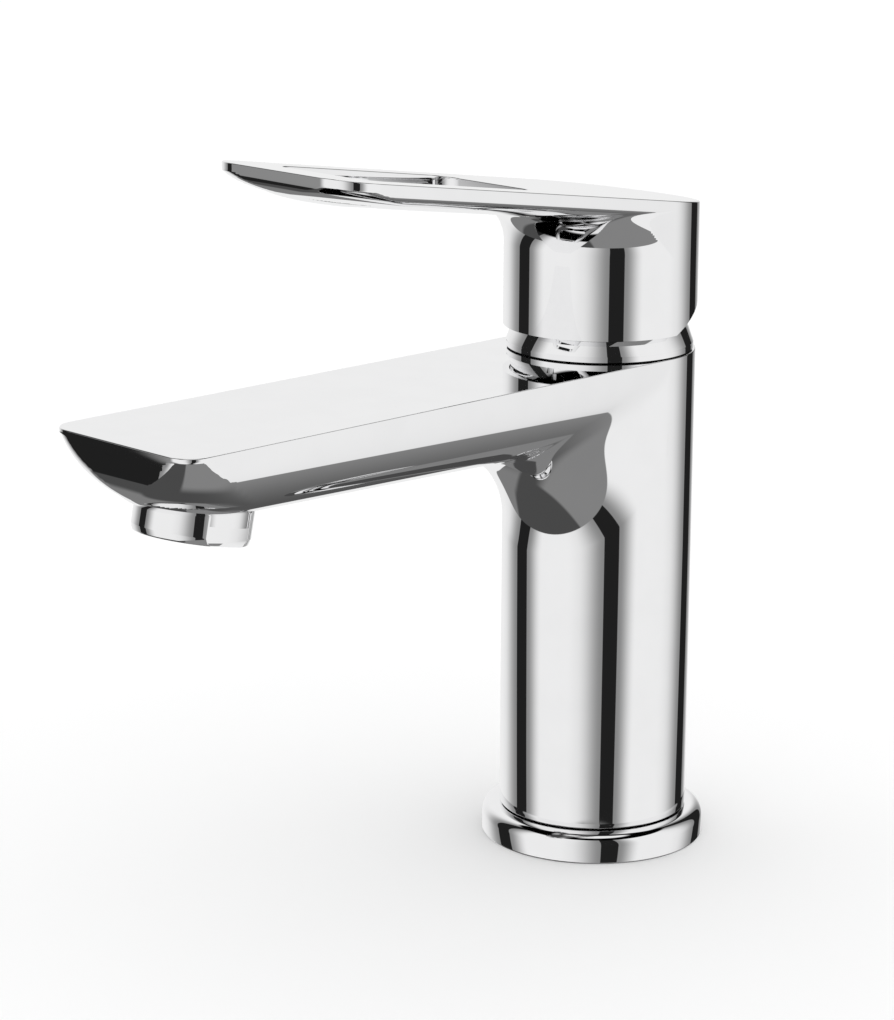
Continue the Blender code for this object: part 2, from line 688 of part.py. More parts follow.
def make_carrier(plastic):
    outline = circle(MOVING_DISC_RADIUS - CARRIER_INSET, MEDIUM, (0, CARRIER_REST))
    origin = (0, CARRIER_REST, CARRIER_BOTTOM)
    carrier = add("disc_carrier", prism(outline, CARRIER_BOTTOM, CARRIER_TOP), plastic, origin=origin)
    half = SPINDLE_BALL_DIAMETER / 2 + SLIDE_GAP
    low = (-half, -half, CARRIER_BOTTOM + CARRIER_SLOT_FLOOR)
    cut(carrier, "ball_slot", block(low, (half, half, CARRIER_TOP + OVERRUN)))


def make_housing(plastic, rubber):
    outer = CARTRIDGE_RADIUS
    groove = outer - ORING_SECTION + GAP / 2
    groove_half = ORING_SECTION / 2 + GAP
    middle = HOUSING_TOP - ORING_BELOW_SHOULDER
    neck_top = HOUSING_TOP + HOUSING_NECK_HEIGHT
    profile = [
        (HOUSING_BORE_RADIUS, CARTRIDGE_BASE_TOP + GAP),
        (outer, CARTRIDGE_BASE_TOP + GAP),
        (outer, middle - groove_half),
        (groove, middle - groove_half),
        (groove, middle + groove_half),
        (outer, middle + groove_half),
        (outer, HOUSING_TOP),
        (HOUSING_NECK_DIAMETER / 2, HOUSING_TOP),
        (HOUSING_NECK_DIAMETER / 2, neck_top),
        (HOUSING_NECK_BORE, neck_top),
        (HOUSING_NECK_BORE, HOUSING_CEILING),
        (HOUSING_BORE_RADIUS, HOUSING_CEILING),
    ]
    add("cartridge_housing", turned(profile), plastic)
    section = ORING_SECTION / 2
    ring = arc((groove + GAP + section, middle), section, 0, 315, 7)
    add("cartridge_oring", turned(ring), rubber)


def make_turret(plastic, steel):
    flange = TURRET_FLANGE_RADIUS
    neck_radius = TURRET_NECK_DIAMETER / 2
    neck_top = TURRET_SHOULDER + TURRET_NECK_HEIGHT
    profile = [
        (0, TURRET_BOTTOM),
        (flange, TURRET_BOTTOM),
        (flange, TURRET_SHOULDER),
        (neck_radius, TURRET_SHOULDER),
        (neck_radius, neck_top),
        (0, neck_top),
    ]
    turret = add("turret", turned(profile, MEDIUM), plastic, origin=(0, 0, TURRET_BOTTOM))
    inner = flange - GAP / 2 - TURRET_LUG_THICKNESS
    for side, sign in SIDES:
        near, far = sorted((sign * inner, sign * (inner + TURRET_LUG_THICKNESS)))
        low = (near, -TURRET_LUG_WIDTH / 2, TURRET_BOTTOM - TURRET_LUG_LENGTH)
        join(turret, side + "_lug", block(low, (far, TURRET_LUG_WIDTH / 2, TURRET_BOTTOM + MM)))
    cut(turret, "spindle_slot", side_cut(spindle_slot(neck_top), SPINDLE_SQUARE / 2 + SLIDE_GAP))
    reach = HOUSING_NECK_BORE + OVERRUN
    hole = rod((-reach, 0, PIVOT), (reach, 0, PIVOT), PIN_DIAMETER / 2 + GAP)
    cut(turret, "pin_hole", hole)

    half = PIN_LENGTH / 2
    pin = rod((-half, 0, PIVOT), (half, 0, PIVOT), PIN_DIAMETER / 2)
    add("spindle_pin", pin, steel, origin=(0, 0, PIVOT))


def spindle_slot(neck_top):
    """The (y, z) outline that the spindle sweeps as it tilts, with its clearance."""
    half = SPINDLE_SQUARE / 2
    wide = half / math.cos(TILT) + SLIDE_GAP / 2
    swing = math.tan(TILT)
    low = TURRET_BOTTOM - MM
    high = neck_top + MM
    square_end = PIVOT - SPINDLE_SQUARE_BELOW
    arm_half = SPINDLE_ARM_DIAMETER / 2 / math.cos(TILT) + SLIDE_GAP
    return [
        (half + SLIDE_GAP, low),
        (wide, PIVOT),
        (wide + (high - PIVOT) * swing, high),
        (-half - SLIDE_GAP, high),
        (-wide, PIVOT),
        (-wide - (PIVOT - square_end) * swing, square_end),
        (-arm_half - (PIVOT - low) * swing, low),
    ]


def make_nut(brass):
    ring = ring_profile(NUT_BORE, NUT_THREAD_RADIUS, NUT_BOTTOM, NUT_BOTTOM + NUT_HEIGHT)
    nut = add("cartridge_nut", turned(ring), brass)
    low = NUT_BOTTOM + NUT_HEIGHT - GAP
    high = NUT_BOTTOM + NUT_HEIGHT + NUT_HEX_HEIGHT
    crown = prism(hexagon(2 * (NUT_BORE + NUT_WALL)), low, high)
    join(nut, "hexagon", crown)
    cut(nut, "bore", rod((0, 0, NUT_BOTTOM - OVERRUN), (0, 0, high + OVERRUN), NUT_BORE, ROUND))


# --- Dome cover ---


def make_dome(chrome, rubber):
    lip = DOME_LIP_RADIUS
    throat = DOME_NECK_RADIUS
    opening = throat - DOME_OPENING_INSET
    spigot = THREAD_BORE_RADIUS - SLIDE_GAP
    sweep = math.hypot(throat, DOME_NECK_TOP - PIVOT)
    start = math.degrees(math.atan2(DOME_NECK_TOP - PIVOT, throat))
    end = math.degrees(math.acos(opening / sweep))
    inner = sweep - DOME_WALL
    inner_end = math.degrees(math.acos(opening / inner))
    profile = [
        (spigot, DOME_BOTTOM),
        (lip, DOME_BOTTOM),
        (lip, DOME_BOTTOM + DOME_LIP_HEIGHT),
        *arc((0, PIVOT), sweep, start, end, 4),
        *arc((0, PIVOT), inner, inner_end, start, 4),
        (spigot - DOME_SPIGOT_WALL, DOME_BOTTOM + DOME_LIP_HEIGHT),
        (spigot - DOME_SPIGOT_WALL, BODY_TOP - DOME_SPIGOT_DEPTH),
        (spigot, BODY_TOP - DOME_SPIGOT_DEPTH),
    ]
    add("dome_cover", turned(profile), chrome)
    outer = lip - GAP
    top = DOME_SEAL_BOTTOM + DOME_SEAL_THICKNESS
    add("dome_seal", turned(ring_profile(outer - DOME_SEAL_WIDTH, outer, DOME_SEAL_BOTTOM, top)), rubber)


# --- Handle group ---


def handle_top(y):
    return HANDLE_TOP_AT_AXIS - HANDLE_SLOPE * y


def make_spindle(steel):
    ball = PIVOT - SPINDLE_ARM
    radius = SPINDLE_BALL_DIAMETER / 2
    square_end = PIVOT - SPINDLE_SQUARE_BELOW
    arm = SPINDLE_ARM_DIAMETER / 2
    shoulder = 60
    profile = [
        *arc((0, ball), radius, -90, shoulder, 6),
        (arm, ball + radius),
        (arm, square_end + MM),
        (0, square_end + MM),
    ]
    profile[0] = (0, profile[0][1])
    spindle = add("spindle", turned(profile, SMALL), steel, origin=(0, 0, PIVOT))
    half = SPINDLE_SQUARE / 2
    stem = prism(rounded_rectangle(half, half, MM, corner_steps=2), square_end, SPINDLE_TOP)
    join(spindle, "stem", stem)
    reach = half + OVERRUN
    cut(spindle, "pin_hole", rod((-reach, 0, PIVOT), (reach, 0, PIVOT), PIN_DIAMETER / 2 + GAP))


def make_sleeve(plastic):
    low = BOSS_BOTTOM + GAP
    high = SPINDLE_TOP + GAP
    tube = prism(rectangle(SLEEVE_HALF, SLEEVE_HALF), low, high)
    sleeve = add("spindle_sleeve", tube, plastic, origin=(0, 0, PIVOT))
    half = SPINDLE_SQUARE / 2 + GAP
    cut(sleeve, "square", prism(rectangle(half, half), low - OVERRUN, high + OVERRUN))


def make_handle(chrome):
    upper = [(x, y, handle_top(y)) for x, y in circle(HANDLE_RADIUS)]
    cup = stacked([at_height(circle(HANDLE_RADIUS), HANDLE_LOWER_EDGE), upper])
    handle = add("handle", cup, chrome, origin=(0, 0, PIVOT))
    lever = hull(
        LEVER_WIDTH, LEVER_REACH, LEVER_EDGE, LEVER_DEPTH, 0.0, LEVER_BOW, LEVER_CORNER, handle_top
    )
    join(handle, "lever", lever)
    start = -LEVER_EDGE - LEVER_DEPTH - LEVER_NECK_RADIUS
    width = LEVER_WIDTH - 2 * LEVER_NECK_INSET
    web = neck(HANDLE_RADIUS, width, LEVER_NECK_RADIUS, start, 3 * MM, handle_top)
    join(handle, "web", web)

    bore = HANDLE_RADIUS - HANDLE_WALL
    skirt_top = HANDLE_LOWER_EDGE + HANDLE_SKIRT_HEIGHT
    cavity = [
        (0, HANDLE_LOWER_EDGE - OVERRUN),
        (SKIRT_BORE, HANDLE_LOWER_EDGE - OVERRUN),
        (SKIRT_BORE, skirt_top),
        (bore, skirt_top + (SKIRT_BORE - bore)),
        (bore, HANDLE_CEILING),
        (BOSS_DIAMETER / 2, HANDLE_CEILING),
        (BOSS_DIAMETER / 2, BOSS_BOTTOM),
        (0, BOSS_BOTTOM),
    ]
    cut(handle, "cavity", turned(cavity))
    half = SLEEVE_HALF + GAP
    socket = prism(rectangle(half, half), BOSS_BOTTOM - GAP, SPINDLE_TOP + 4 * GAP)
    cut(handle, "socket", socket)
    middle = (0, -(LOOP_START + LOOP_END) / 2)
    opening = rounded_rectangle(LEVER_WIDTH / 2 - LOOP_SIDE, (LOOP_END - LOOP_START) / 2, LOOP_CORNER, middle)
    low = HANDLE_TOP_AT_AXIS - LEVER_EDGE - LEVER_DEPTH - OVERRUN
    cut(handle, "loop", prism(opening, low, handle_top(-LEVER_REACH) + OVERRUN))
    far = HANDLE_RADIUS + OVERRUN
    rise = (far - HANDLE_RELIEF_START) * math.tan(TILT)
    relief = [
        (HANDLE_RELIEF_START, HANDLE_LOWER_EDGE - OVERRUN),
        (far, HANDLE_LOWER_EDGE - OVERRUN),
        (far, HANDLE_LOWER_EDGE + rise),
        (HANDLE_RELIEF_START, HANDLE_LOWER_EDGE),
    ]
    cut(handle, "rear_relief", side_cut(relief, far))
    inner = (0, SLEEVE_HALF, SCREW_HEIGHT)
    cut(handle, "screw_hole", rod(inner, (0, bore - GAP, SCREW_HEIGHT), SCREW_DIAMETER / 2 + GAP))
    plug_start = (0, bore - OVERRUN, SCREW_HEIGHT)
    cut(handle, "plug_hole", rod(plug_start, (0, far, SCREW_HEIGHT), PLUG_DIAMETER / 2 + GAP))


def make_screw_and_plug(steel, plastic):
    start = SLEEVE_HALF + 2 * GAP
    end = start + SCREW_LENGTH
    screw = rod((0, start, SCREW_HEIGHT), (0, end, SCREW_HEIGHT), SCREW_DIAMETER / 2)
    screw = add("handle_set_screw", screw, steel, origin=(0, start, SCREW_HEIGHT))
    key = prism(hexagon(SCREW_HEX), 0, SCREW_HEX_DEPTH + OVERRUN)
    facing_back = Matrix.Rotation(-math.pi / 2, 4, "X")
    cut(screw, "key", key, Matrix.Translation((0, end - SCREW_HEX_DEPTH, SCREW_HEIGHT)) @ facing_back)

    face = HANDLE_RADIUS - GAP
    crown = 0.3 * MM
    radius = PLUG_DIAMETER / 2
    profile = [
        (0, 0),
        (radius, 0),
        (radius, PLUG_LENGTH - crown),
        (radius - crown, PLUG_LENGTH),
        (0, PLUG_LENGTH),
    ]
    place = Matrix.Translation((0, face - PLUG_LENGTH, SCREW_HEIGHT)) @ facing_back
    add("indicator_plug", turned(profile, MEDIUM), plastic, origin=(0, face, SCREW_HEIGHT), frame=place)


clear_scene()
PARTS = collection("parts")
TOOLS = collection("cutters")


def main():
    chrome = material("chrome", (0.86, 0.87, 0.88), 1.0, 0.05)
    brass = material("brass", (0.72, 0.55, 0.25), 1.0, 0.3)
    steel = material("steel", (0.55, 0.56, 0.57), 1.0, 0.25)
    rubber = material("rubber", (0.02, 0.02, 0.02), 0.0, 0.7)
    ceramic = material("ceramic", (0.85, 0.85, 0.82), 0.0, 0.2)
    white = material("white_plastic", (0.8, 0.8, 0.78), 0.0, 0.4)
    grey = material("grey_plastic", (0.35, 0.36, 0.38), 0.0, 0.45)
    make_body(chrome)
    make_base(chrome, rubber)
    make_aerator(chrome, grey, steel, rubber)
    make_cartridge_base(white, rubber)
    make_discs(ceramic)
    make_carrier(white)
    make_housing(grey, rubber)
    make_turret(white, steel)
    make_nut(brass)
    make_dome(chrome, rubber)
    make_spindle(brass)
    make_sleeve(grey)
    make_handle(chrome)
    make_screw_and_plug(steel, grey)


main()
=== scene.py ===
"""Looks of a single-lever basin mixer: polished shells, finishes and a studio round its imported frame."""

import json
import math

import bmesh
import bpy
import numpy as np
from bpy.props import FloatProperty, FloatVectorProperty, IntProperty, PointerProperty
from mathutils import Matrix, Vector

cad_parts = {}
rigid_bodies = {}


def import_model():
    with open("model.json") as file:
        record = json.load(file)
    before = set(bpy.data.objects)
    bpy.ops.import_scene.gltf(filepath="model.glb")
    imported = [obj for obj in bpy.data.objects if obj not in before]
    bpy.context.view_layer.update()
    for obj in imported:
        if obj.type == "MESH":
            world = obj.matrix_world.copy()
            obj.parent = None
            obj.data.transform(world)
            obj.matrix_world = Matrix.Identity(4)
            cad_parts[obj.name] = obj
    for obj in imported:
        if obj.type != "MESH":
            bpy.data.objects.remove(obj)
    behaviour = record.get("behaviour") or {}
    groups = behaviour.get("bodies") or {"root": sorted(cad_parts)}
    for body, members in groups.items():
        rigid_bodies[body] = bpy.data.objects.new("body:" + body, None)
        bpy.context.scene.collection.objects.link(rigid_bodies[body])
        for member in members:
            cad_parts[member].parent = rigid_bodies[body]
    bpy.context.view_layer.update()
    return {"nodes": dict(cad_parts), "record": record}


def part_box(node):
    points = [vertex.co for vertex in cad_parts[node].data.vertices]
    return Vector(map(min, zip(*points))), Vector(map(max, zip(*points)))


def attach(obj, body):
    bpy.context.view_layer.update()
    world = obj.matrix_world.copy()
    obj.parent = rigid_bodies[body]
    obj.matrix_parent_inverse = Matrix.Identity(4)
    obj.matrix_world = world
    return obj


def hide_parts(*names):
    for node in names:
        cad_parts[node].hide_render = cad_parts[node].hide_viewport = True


for leftover in list(bpy.data.objects):
    bpy.data.objects.remove(leftover, do_unlink=True)
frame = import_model()

bl_info = {
    "name": "Basin Mixer Looks",
    "version": (1, 0, 0),
    "blender": (4, 5, 0),
    "location": "3D View > Sidebar > Mixer",
    "description": "Builds the polished shells, trim and finishes of a single-lever basin mixer",
    "category": "Object",
}

MM = 0.001
ROUND_STEPS = 192
SHARP_ANGLE = math.radians(35)
SAME_POINT = 1e-8
# Between two pieces that don't touch, between a hole and what stands in it, and at a small rounding.
GAP = 0.3 * MM
# The cartridge's floor in the body, and the height that the lever tilts about.
CHAMBER_FLOOR = 76.0 * MM
PIVOT = 107.5 * MM


def low(node):
    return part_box(node)[0]


def high(node):
    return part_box(node)[1]


# --- Meshes ---


def make_mesh(name, points, faces):
    """A welded mesh with its faces turned outwards."""
    mesh = bpy.data.meshes.new(name)
    mesh.from_pydata([tuple(point) for point in points], [], faces)
    built = bmesh.new()
    built.from_mesh(mesh)
    bmesh.ops.remove_doubles(built, verts=built.verts, dist=SAME_POINT)
    bmesh.ops.dissolve_degenerate(built, edges=built.edges, dist=SAME_POINT)
    bmesh.ops.recalc_face_normals(built, faces=built.faces)
    built.to_mesh(mesh)
    built.free()
    return mesh


def smooth(mesh):
    mesh.shade_smooth()
    mesh.set_sharp_from_angle(angle=SHARP_ANGLE)
    return mesh


def rounded(corners, steps=5):
    """A (radius, height) outline from corners of (radius, height, rounding)."""
    outline = []
    for index, (radius, height, rounding) in enumerate(corners):
        here = Vector((radius, height))
        if rounding == 0:
            outline.append(tuple(here))
            continue
        before = Vector(corners[index - 1][:2]) - here
        after = Vector(corners[(index + 1) % len(corners)][:2]) - here
        half = before.angle(after) / 2
        run = rounding / math.tan(half)
        middle = (before.normalized() + after.normalized()).normalized() * (rounding / math.sin(half))
        start = (before.normalized() * run - middle).normalized()
        end = (after.normalized() * run - middle).normalized()
        for step in range(steps + 1):
            outline.append(tuple(here + middle + start.slerp(end, step / steps) * rounding))
    return outline


def turned(name, profile, steps=ROUND_STEPS, frame_of=None):
    """A (radius, height) outline spun about Z; it stays open on the axis where it starts and ends there."""
    on_axis = profile[0][0] == 0
    points = []
    for step in range(steps):
        turn = math.tau * step / steps
        points += [(radius * math.cos(turn), radius * math.sin(turn), height) for radius, height in profile]
    count = len(profile)
    faces = []
    for step in range(steps):
        here, there = step * count, (step + 1) % steps * count
        for index in range(count - 1 if on_axis else count):
            after = (index + 1) % count
            faces.append((here + index, there + index, there + after, here + after))
    mesh = make_mesh(name, points, faces)
    if frame_of is not None:
        mesh.transform(frame_of)
    return mesh


def stacked(name, rings):
    """A solid through rings of equal length, closed by flat ends."""
    count = len(rings[0])
    points = [point for ring in rings for point in ring]
    faces = []
    for level in range(len(rings) - 1):
        for index in range(count):
            after = (index + 1) % count
            here, there = level * count, (level + 1) * count
            faces.append((here + index, here + after, there + after, there + index))
    faces.append(tuple(range(count)))
    faces.append(tuple(range((len(rings) - 1) * count, len(rings) * count)))
    return make_mesh(name, points, faces)


def circle(radius, steps=48, centre=(0, 0)):
    turns = [math.tau * step / steps for step in range(steps)]
    return [(centre[0] + radius * math.cos(turn), centre[1] + radius * math.sin(turn)) for turn in turns]


def rounded_rectangle(half_x, half_y, radius, centre=(0, 0), steps=10):
    outline = []
    for quarter, (sign_x, sign_y) in enumerate(((1, 1), (-1, 1), (-1, -1), (1, -1))):
        for step in range(steps + 1):
            turn = math.pi / 2 * (quarter + step / steps)
            x = sign_x * (half_x - radius) + radius * math.cos(turn)
            y = sign_y * (half_y - radius) + radius * math.sin(turn)
            outline.append((centre[0] + x, centre[1] + y))
    return outline


def prism(name, outline, bottom, top):
    return stacked(name, [[(x, y, z) for x, y in outline] for z in (bottom, top)])


def rod(name, start, end, radius, steps=48):
    run = Vector(end) - Vector(start)
    mesh = prism(name, circle(radius, steps), 0, run.length)
    mesh.transform(Matrix.Translation(start) @ run.to_track_quat("Z", "Y").to_matrix().to_4x4())
    return mesh


def carved(mesh, cutters):
    """The mesh with every cutter taken out of it."""
    scene = bpy.context.scene
    group = bpy.data.collections.new("cutters")
    scene.collection.children.link(group)
    helpers = [bpy.data.objects.new("cutter", cutter) for cutter in cutters]
    for helper in helpers:
        group.objects.link(helper)
    stock = bpy.data.objects.new("stock", mesh)
    scene.collection.objects.link(stock)
    boolean = stock.modifiers.new("carve", "BOOLEAN")
    boolean.operation = "DIFFERENCE"
    boolean.solver = "EXACT"
    boolean.operand_type = "COLLECTION"
    boolean.collection = group
    view = bpy.context.evaluated_depsgraph_get()
    result = bpy.data.meshes.new_from_object(stock.evaluated_get(view))
    for helper in [*helpers, stock]:
        bpy.data.objects.remove(helper)
    bpy.data.collections.remove(group)
    return result


# --- The form shared by the body and the lever: a round column whose flat top runs out into an arm ---


class ArmedColumn:
    """Its plan is round behind and a rounded bar in front; the arm's keel sweeps up at the tip in a bow.

    Depths are measured straight down from the flat top, which rises by slope for each metre towards -Y.
    """

    KEEL_POWER = 2.6

    def __init__(self, size, slope, top):
        self.radius = size.radius
        self.reach = size.reach
        self.edge = size.edge
        self.keel_at_tip = size.keel_at_tip
        self.keel_at_column = size.keel_at_column
        self.bow = size.bow
        self.bow_power = size.bow_power
        self.corner = size.corner
        self.fillet = size.fillet
        self.rim = size.rim
        self.slope = slope
        self.top = top
        self.fan = self.reach - self.bow - 0.45 * self.radius
        self.split = self.edge + self.keel_depth(-self.radius) + self.fillet

    def keel_depth(self, y):
        along = (y + self.reach) / (self.reach - self.radius)
        return self.keel_at_tip + (self.keel_at_column - self.keel_at_tip) * along

    def top_at(self, y):
        return self.top - self.slope * y

    def outline_gap(self, x, y, level):
        """How far a point lies outside the plan outline of a level: 1 is the rim, and 0 the keel's end."""
        side = self.radius * level ** (1 / self.KEEL_POWER)
        front = self.reach - self.bow * (1 - level ** (1 / self.bow_power))
        fullness = np.clip(1 - level, 0, 1) ** (1 / self.KEEL_POWER)
        corner = np.minimum(side, self.corner + (self.radius - self.corner) * fullness)
        beside = np.abs(x) - (side - corner)
        ahead = -y - (front - corner)
        beyond = np.hypot(np.maximum(beside, 0), np.maximum(ahead, 0))
        return np.where((beside > 0) & (ahead > 0), beyond, np.maximum(beside, ahead)) - corner

    def outline_level(self, x, y):
        level = (np.abs(x) / self.radius) ** self.KEEL_POWER
        near_tip = -y > self.fan - 2 * MM
        if near_tip.any():
            x, y = x[near_tip], y[near_tip]
            inside = np.zeros_like(x)
            outside = np.full_like(x, 1.6)
            for _ in range(34):
                middle = (inside + outside) / 2
                is_outside = self.outline_gap(x, y, middle) > 0
                inside = np.where(is_outside, middle, inside)
                outside = np.where(is_outside, outside, middle)
            level[near_tip] = (inside + outside) / 2
        return level

    def distance(self, x, y, depth):
        """About the distance outside the surface, with a rolled fillet where the arm leaves the column."""
        power = self.KEEL_POWER
        keel = self.keel_depth(y)
        sunk = np.maximum((depth - self.edge) / keel, 0)
        level = self.outline_level(x, y)
        whole = np.maximum(level + sunk**power, 1e-12)
        across = level ** ((power - 1) / power) / self.radius
        downward = sunk ** (power - 1) / keel
        steepness = np.maximum(np.hypot(across, downward), 1e-6)
        arm = (whole - whole ** (1 - 1 / power)) / steepness
        around = np.maximum(np.hypot(x, y), 1e-9)
        column = around - self.radius
        facing = np.clip(np.abs(x) / around * across / steepness, 0, 0.9999)
        tilt = downward / steepness
        ball = self.fillet * (0.88 + 0.12 * tilt)
        a = ball - column
        b = ball - arm
        squared = (a * a + b * b - 2 * facing * a * b) / (1 - facing**2)
        rolled = np.maximum(ball - np.sqrt(np.maximum(squared, 0)), np.abs(x) - self.radius)
        in_fillet = (a > facing * b) & (b > facing * a)
        joined = np.where(in_fillet, rolled, np.minimum(column, arm))
        return np.where(y < 0, joined, column)

    def distance_at(self, points):
        x, y, z = np.asarray(points).T
        return self.distance(x, y, self.top_at(y) - z)

    def normals_at(self, points):
        points = np.asarray(points)
        nudge = 0.02 * MM
        slopes = np.empty_like(points)
        for axis in range(3):
            offset = np.zeros(3)
            offset[axis] = nudge
            slopes[:, axis] = self.distance_at(points + offset) - self.distance_at(points - offset)
        # Behind the middle the form is the plain column, whose normals point straight out from its axis.
        behind = points[:, 1] > -1.5 * nudge
        slopes[behind] = points[behind] * (1, 1, 0)
        return slopes / np.maximum(np.linalg.norm(slopes, axis=1, keepdims=True), 1e-15)

    # Half of the rim in plan, from the back to the front.

    def rim_points(self, detail):
        """Rows of x, y, outward normal x and y, and the y where a rib's plane meets the middle plane."""
        rows = []
        for turn in np.linspace(math.pi / 2, 0, detail.back_ribs, endpoint=False):
            across, along = math.cos(turn), math.sin(turn)
            rows.append((self.radius * across, self.radius * along, across, along, 0.0))
        for turn in np.linspace(0, math.radians(88), detail.column_ribs):
            y = -self.radius * math.sin(turn)
            rows.append((self.radius, y, 1.0, 0.0, y))
        start = self.radius + 0.1 * MM
        for share in np.linspace(0, 1, detail.arm_ribs):
            y = -(start + (self.fan - start) * share**1.8)
            rows.append((self.radius, y, 1.0, 0.0, y))
        corner_y = -(self.reach - self.corner)
        corner_x = self.radius - self.corner
        for y in np.linspace(-self.fan, corner_y, detail.bow_ribs)[1:-1]:
            rows.append((self.radius, y, 1.0, 0.0, -self.fan))
        for turn in np.linspace(0, math.pi / 2, detail.corner_ribs):
            across, along = math.cos(turn), -math.sin(turn)
            x, y = corner_x + self.corner * across, corner_y + self.corner * along
            rows.append((x, y, across, along, -self.fan))
        for x in np.linspace(corner_x, 0, detail.bow_ribs)[1:]:
            rows.append((x, -self.reach, 0.0, -1.0, -self.fan))
        return np.array(rows)

    def traced(self, rim, rows):
        """Points down each rib from under the rounded rim to where it ends, evenly spaced along it."""
        origin_y = rim[:, 4]
        direction = np.stack([rim[:, 0], rim[:, 1] - origin_y], 1)
        start = np.linalg.norm(direction, axis=1)
        direction /= start[:, None]
        on_column = origin_y > -self.radius

        def value(place):
            x = place[:, 0] * direction[:, 0]
            y = origin_y + place[:, 0] * direction[:, 1]
            return self.distance(x, y, place[:, 1])

        def gradient(place):
            nudge = 0.01 * MM
            out, down = np.array([nudge, 0]), np.array([0, nudge])
            slope_out = value(place + out) - value(place - out)
            slope_down = value(place + down) - value(place - down)
            return np.stack([slope_out, slope_down], 1) / (2 * nudge)

        def settled(place):
            slope = gradient(place)
            squared = np.maximum((slope**2).sum(1), 1e-4)
            return place - slope * (value(place) / squared)[:, None]

        place = np.stack([start, np.full_like(start, self.rim)], 1)
        path = [place]
        done = np.zeros(len(rim), bool)
        stride = 0.25 * MM
        while not done.all() and len(path) < 2000:
            slope = gradient(place)
            slope /= np.maximum(np.linalg.norm(slope, axis=1, keepdims=True), 1e-12)
            step = place + stride * np.stack([-slope[:, 1], slope[:, 0]], 1)
            step = settled(step)
            place = np.where(done[:, None], place, step)
            path.append(place)
            done |= np.where(on_column, place[:, 1] >= self.split, place[:, 0] <= 0)
        path = np.array(path)

        shares = np.linspace(0, 1, rows)
        result = np.empty((len(rim), rows, 2))
        for index in range(len(rim)):
            line = path[:, index]
            ends = line[:, 1] >= self.split if on_column[index] else line[:, 0] <= 0
            last = int(np.argmax(ends))
            before, after = line[last - 1], line[last]
            if on_column[index]:
                part = (self.split - before[1]) / (after[1] - before[1])
            else:
                part = before[0] / (before[0] - after[0])
            line = np.vstack([line[:last], before + part * (after - before)])
            lengths = np.concatenate([[0], np.cumsum(np.linalg.norm(np.diff(line, axis=0), axis=1))])
            wanted = shares * lengths[-1]
            result[index, :, 0] = np.interp(wanted, lengths, line[:, 0])
            result[index, :, 1] = np.interp(wanted, lengths, line[:, 1])
        for row in range(1, rows - 1):
            result[:, row] = settled(result[:, row])
        x = result[:, :, 0] * direction[:, None, 0]
        y = origin_y[:, None] + result[:, :, 0] * direction[:, None, 1]
        return x, y, result[:, :, 1]

    def shell(self, name, detail, profile, lift=None):
        """The closed form; profile goes on from the column's outside as (radius, height), in to the axis."""
        rim = self.rim_points(detail)
        x, y, depth = self.traced(rim, detail.rows)
        rounding_rows = 5
        turns = [math.pi / 2 * (1 - step / rounding_rows) for step in range(rounding_rows)]
        inset = np.array([self.rim * (1 - math.cos(turn)) for turn in turns])
        drop = np.array([self.rim * (1 - math.sin(turn)) for turn in turns])
        x = np.hstack([rim[:, 0:1] - rim[:, 2:3] * inset, x])
        y = np.hstack([rim[:, 1:2] - rim[:, 3:4] * inset, y])
        depth = np.hstack([np.broadcast_to(drop, (len(rim), rounding_rows)), depth])
        z = self.top_at(y) - depth
        x[0] = x[-1] = 0.0
        ribs, rows = x.shape
        points = list(zip(x.ravel(), y.ravel(), z.ravel()))
        faces = [
            (rib * rows + row, rib * rows + row + 1, (rib + 1) * rows + row + 1, (rib + 1) * rows + row)
            for rib in range(ribs - 1)
            for row in range(rows - 1)
        ]
        faces.append(tuple(rib * rows for rib in range(ribs)))

        on_column = int((rim[:, 4] > -self.radius).sum())
        azimuths = [math.atan2(y[rib, -1], x[rib, -1]) for rib in range(on_column)] + [-math.pi / 2]
        tops = [rib * rows + rows - 1 for rib in range(on_column)] + [len(points)]
        points.append((0.0, -self.radius, self.top_at(-self.radius) - self.split))
        faces.append((tops[-2], tops[-1], on_column * rows + rows - 1))
        above = tops
        for radius, height in profile:
            here = list(range(len(points), len(points) + len(azimuths)))
            for azimuth in azimuths:
                place_x, place_y = radius * math.cos(azimuth), radius * math.sin(azimuth)
                level = height if lift is None else max(height, lift(place_y))
                points.append((max(place_x, 0.0) if abs(place_x) > 1e-9 else 0.0, place_y, level))
            for index in range(len(azimuths) - 1):
                faces.append((above[index], here[index], here[index + 1], above[index + 1]))
            above = here
        mirrored = [(-px, py, pz) for px, py, pz in points]
        offset = len(points)
        faces += [tuple(offset + corner for corner in reversed(face)) for face in faces]
        return make_mesh(name, points + mirrored, faces)

    def polish(self, mesh):
        """Sets exact normals where the mesh lies on this form, so that reflections run clean over it."""
        smooth(mesh)
        count = len(mesh.vertices)
        points = np.empty(count * 3)
        mesh.vertices.foreach_get("co", points)
        points = points.reshape(-1, 3)
        top = np.array([0, self.slope, 1.0])
        top /= np.linalg.norm(top)
        depth = self.top_at(points[:, 1]) - points[:, 2]
        on_top = np.abs(depth) < 1e-6
        within = (depth > self.rim * 0.98) & (depth < self.split + MM)
        on_form = np.zeros(count, bool)
        on_form[within] = np.abs(self.distance_at(points[within])) < 5e-6
        exact = np.zeros((count, 3))
        exact[on_form] = self.normals_at(points[on_form])
        exact[on_top] = top

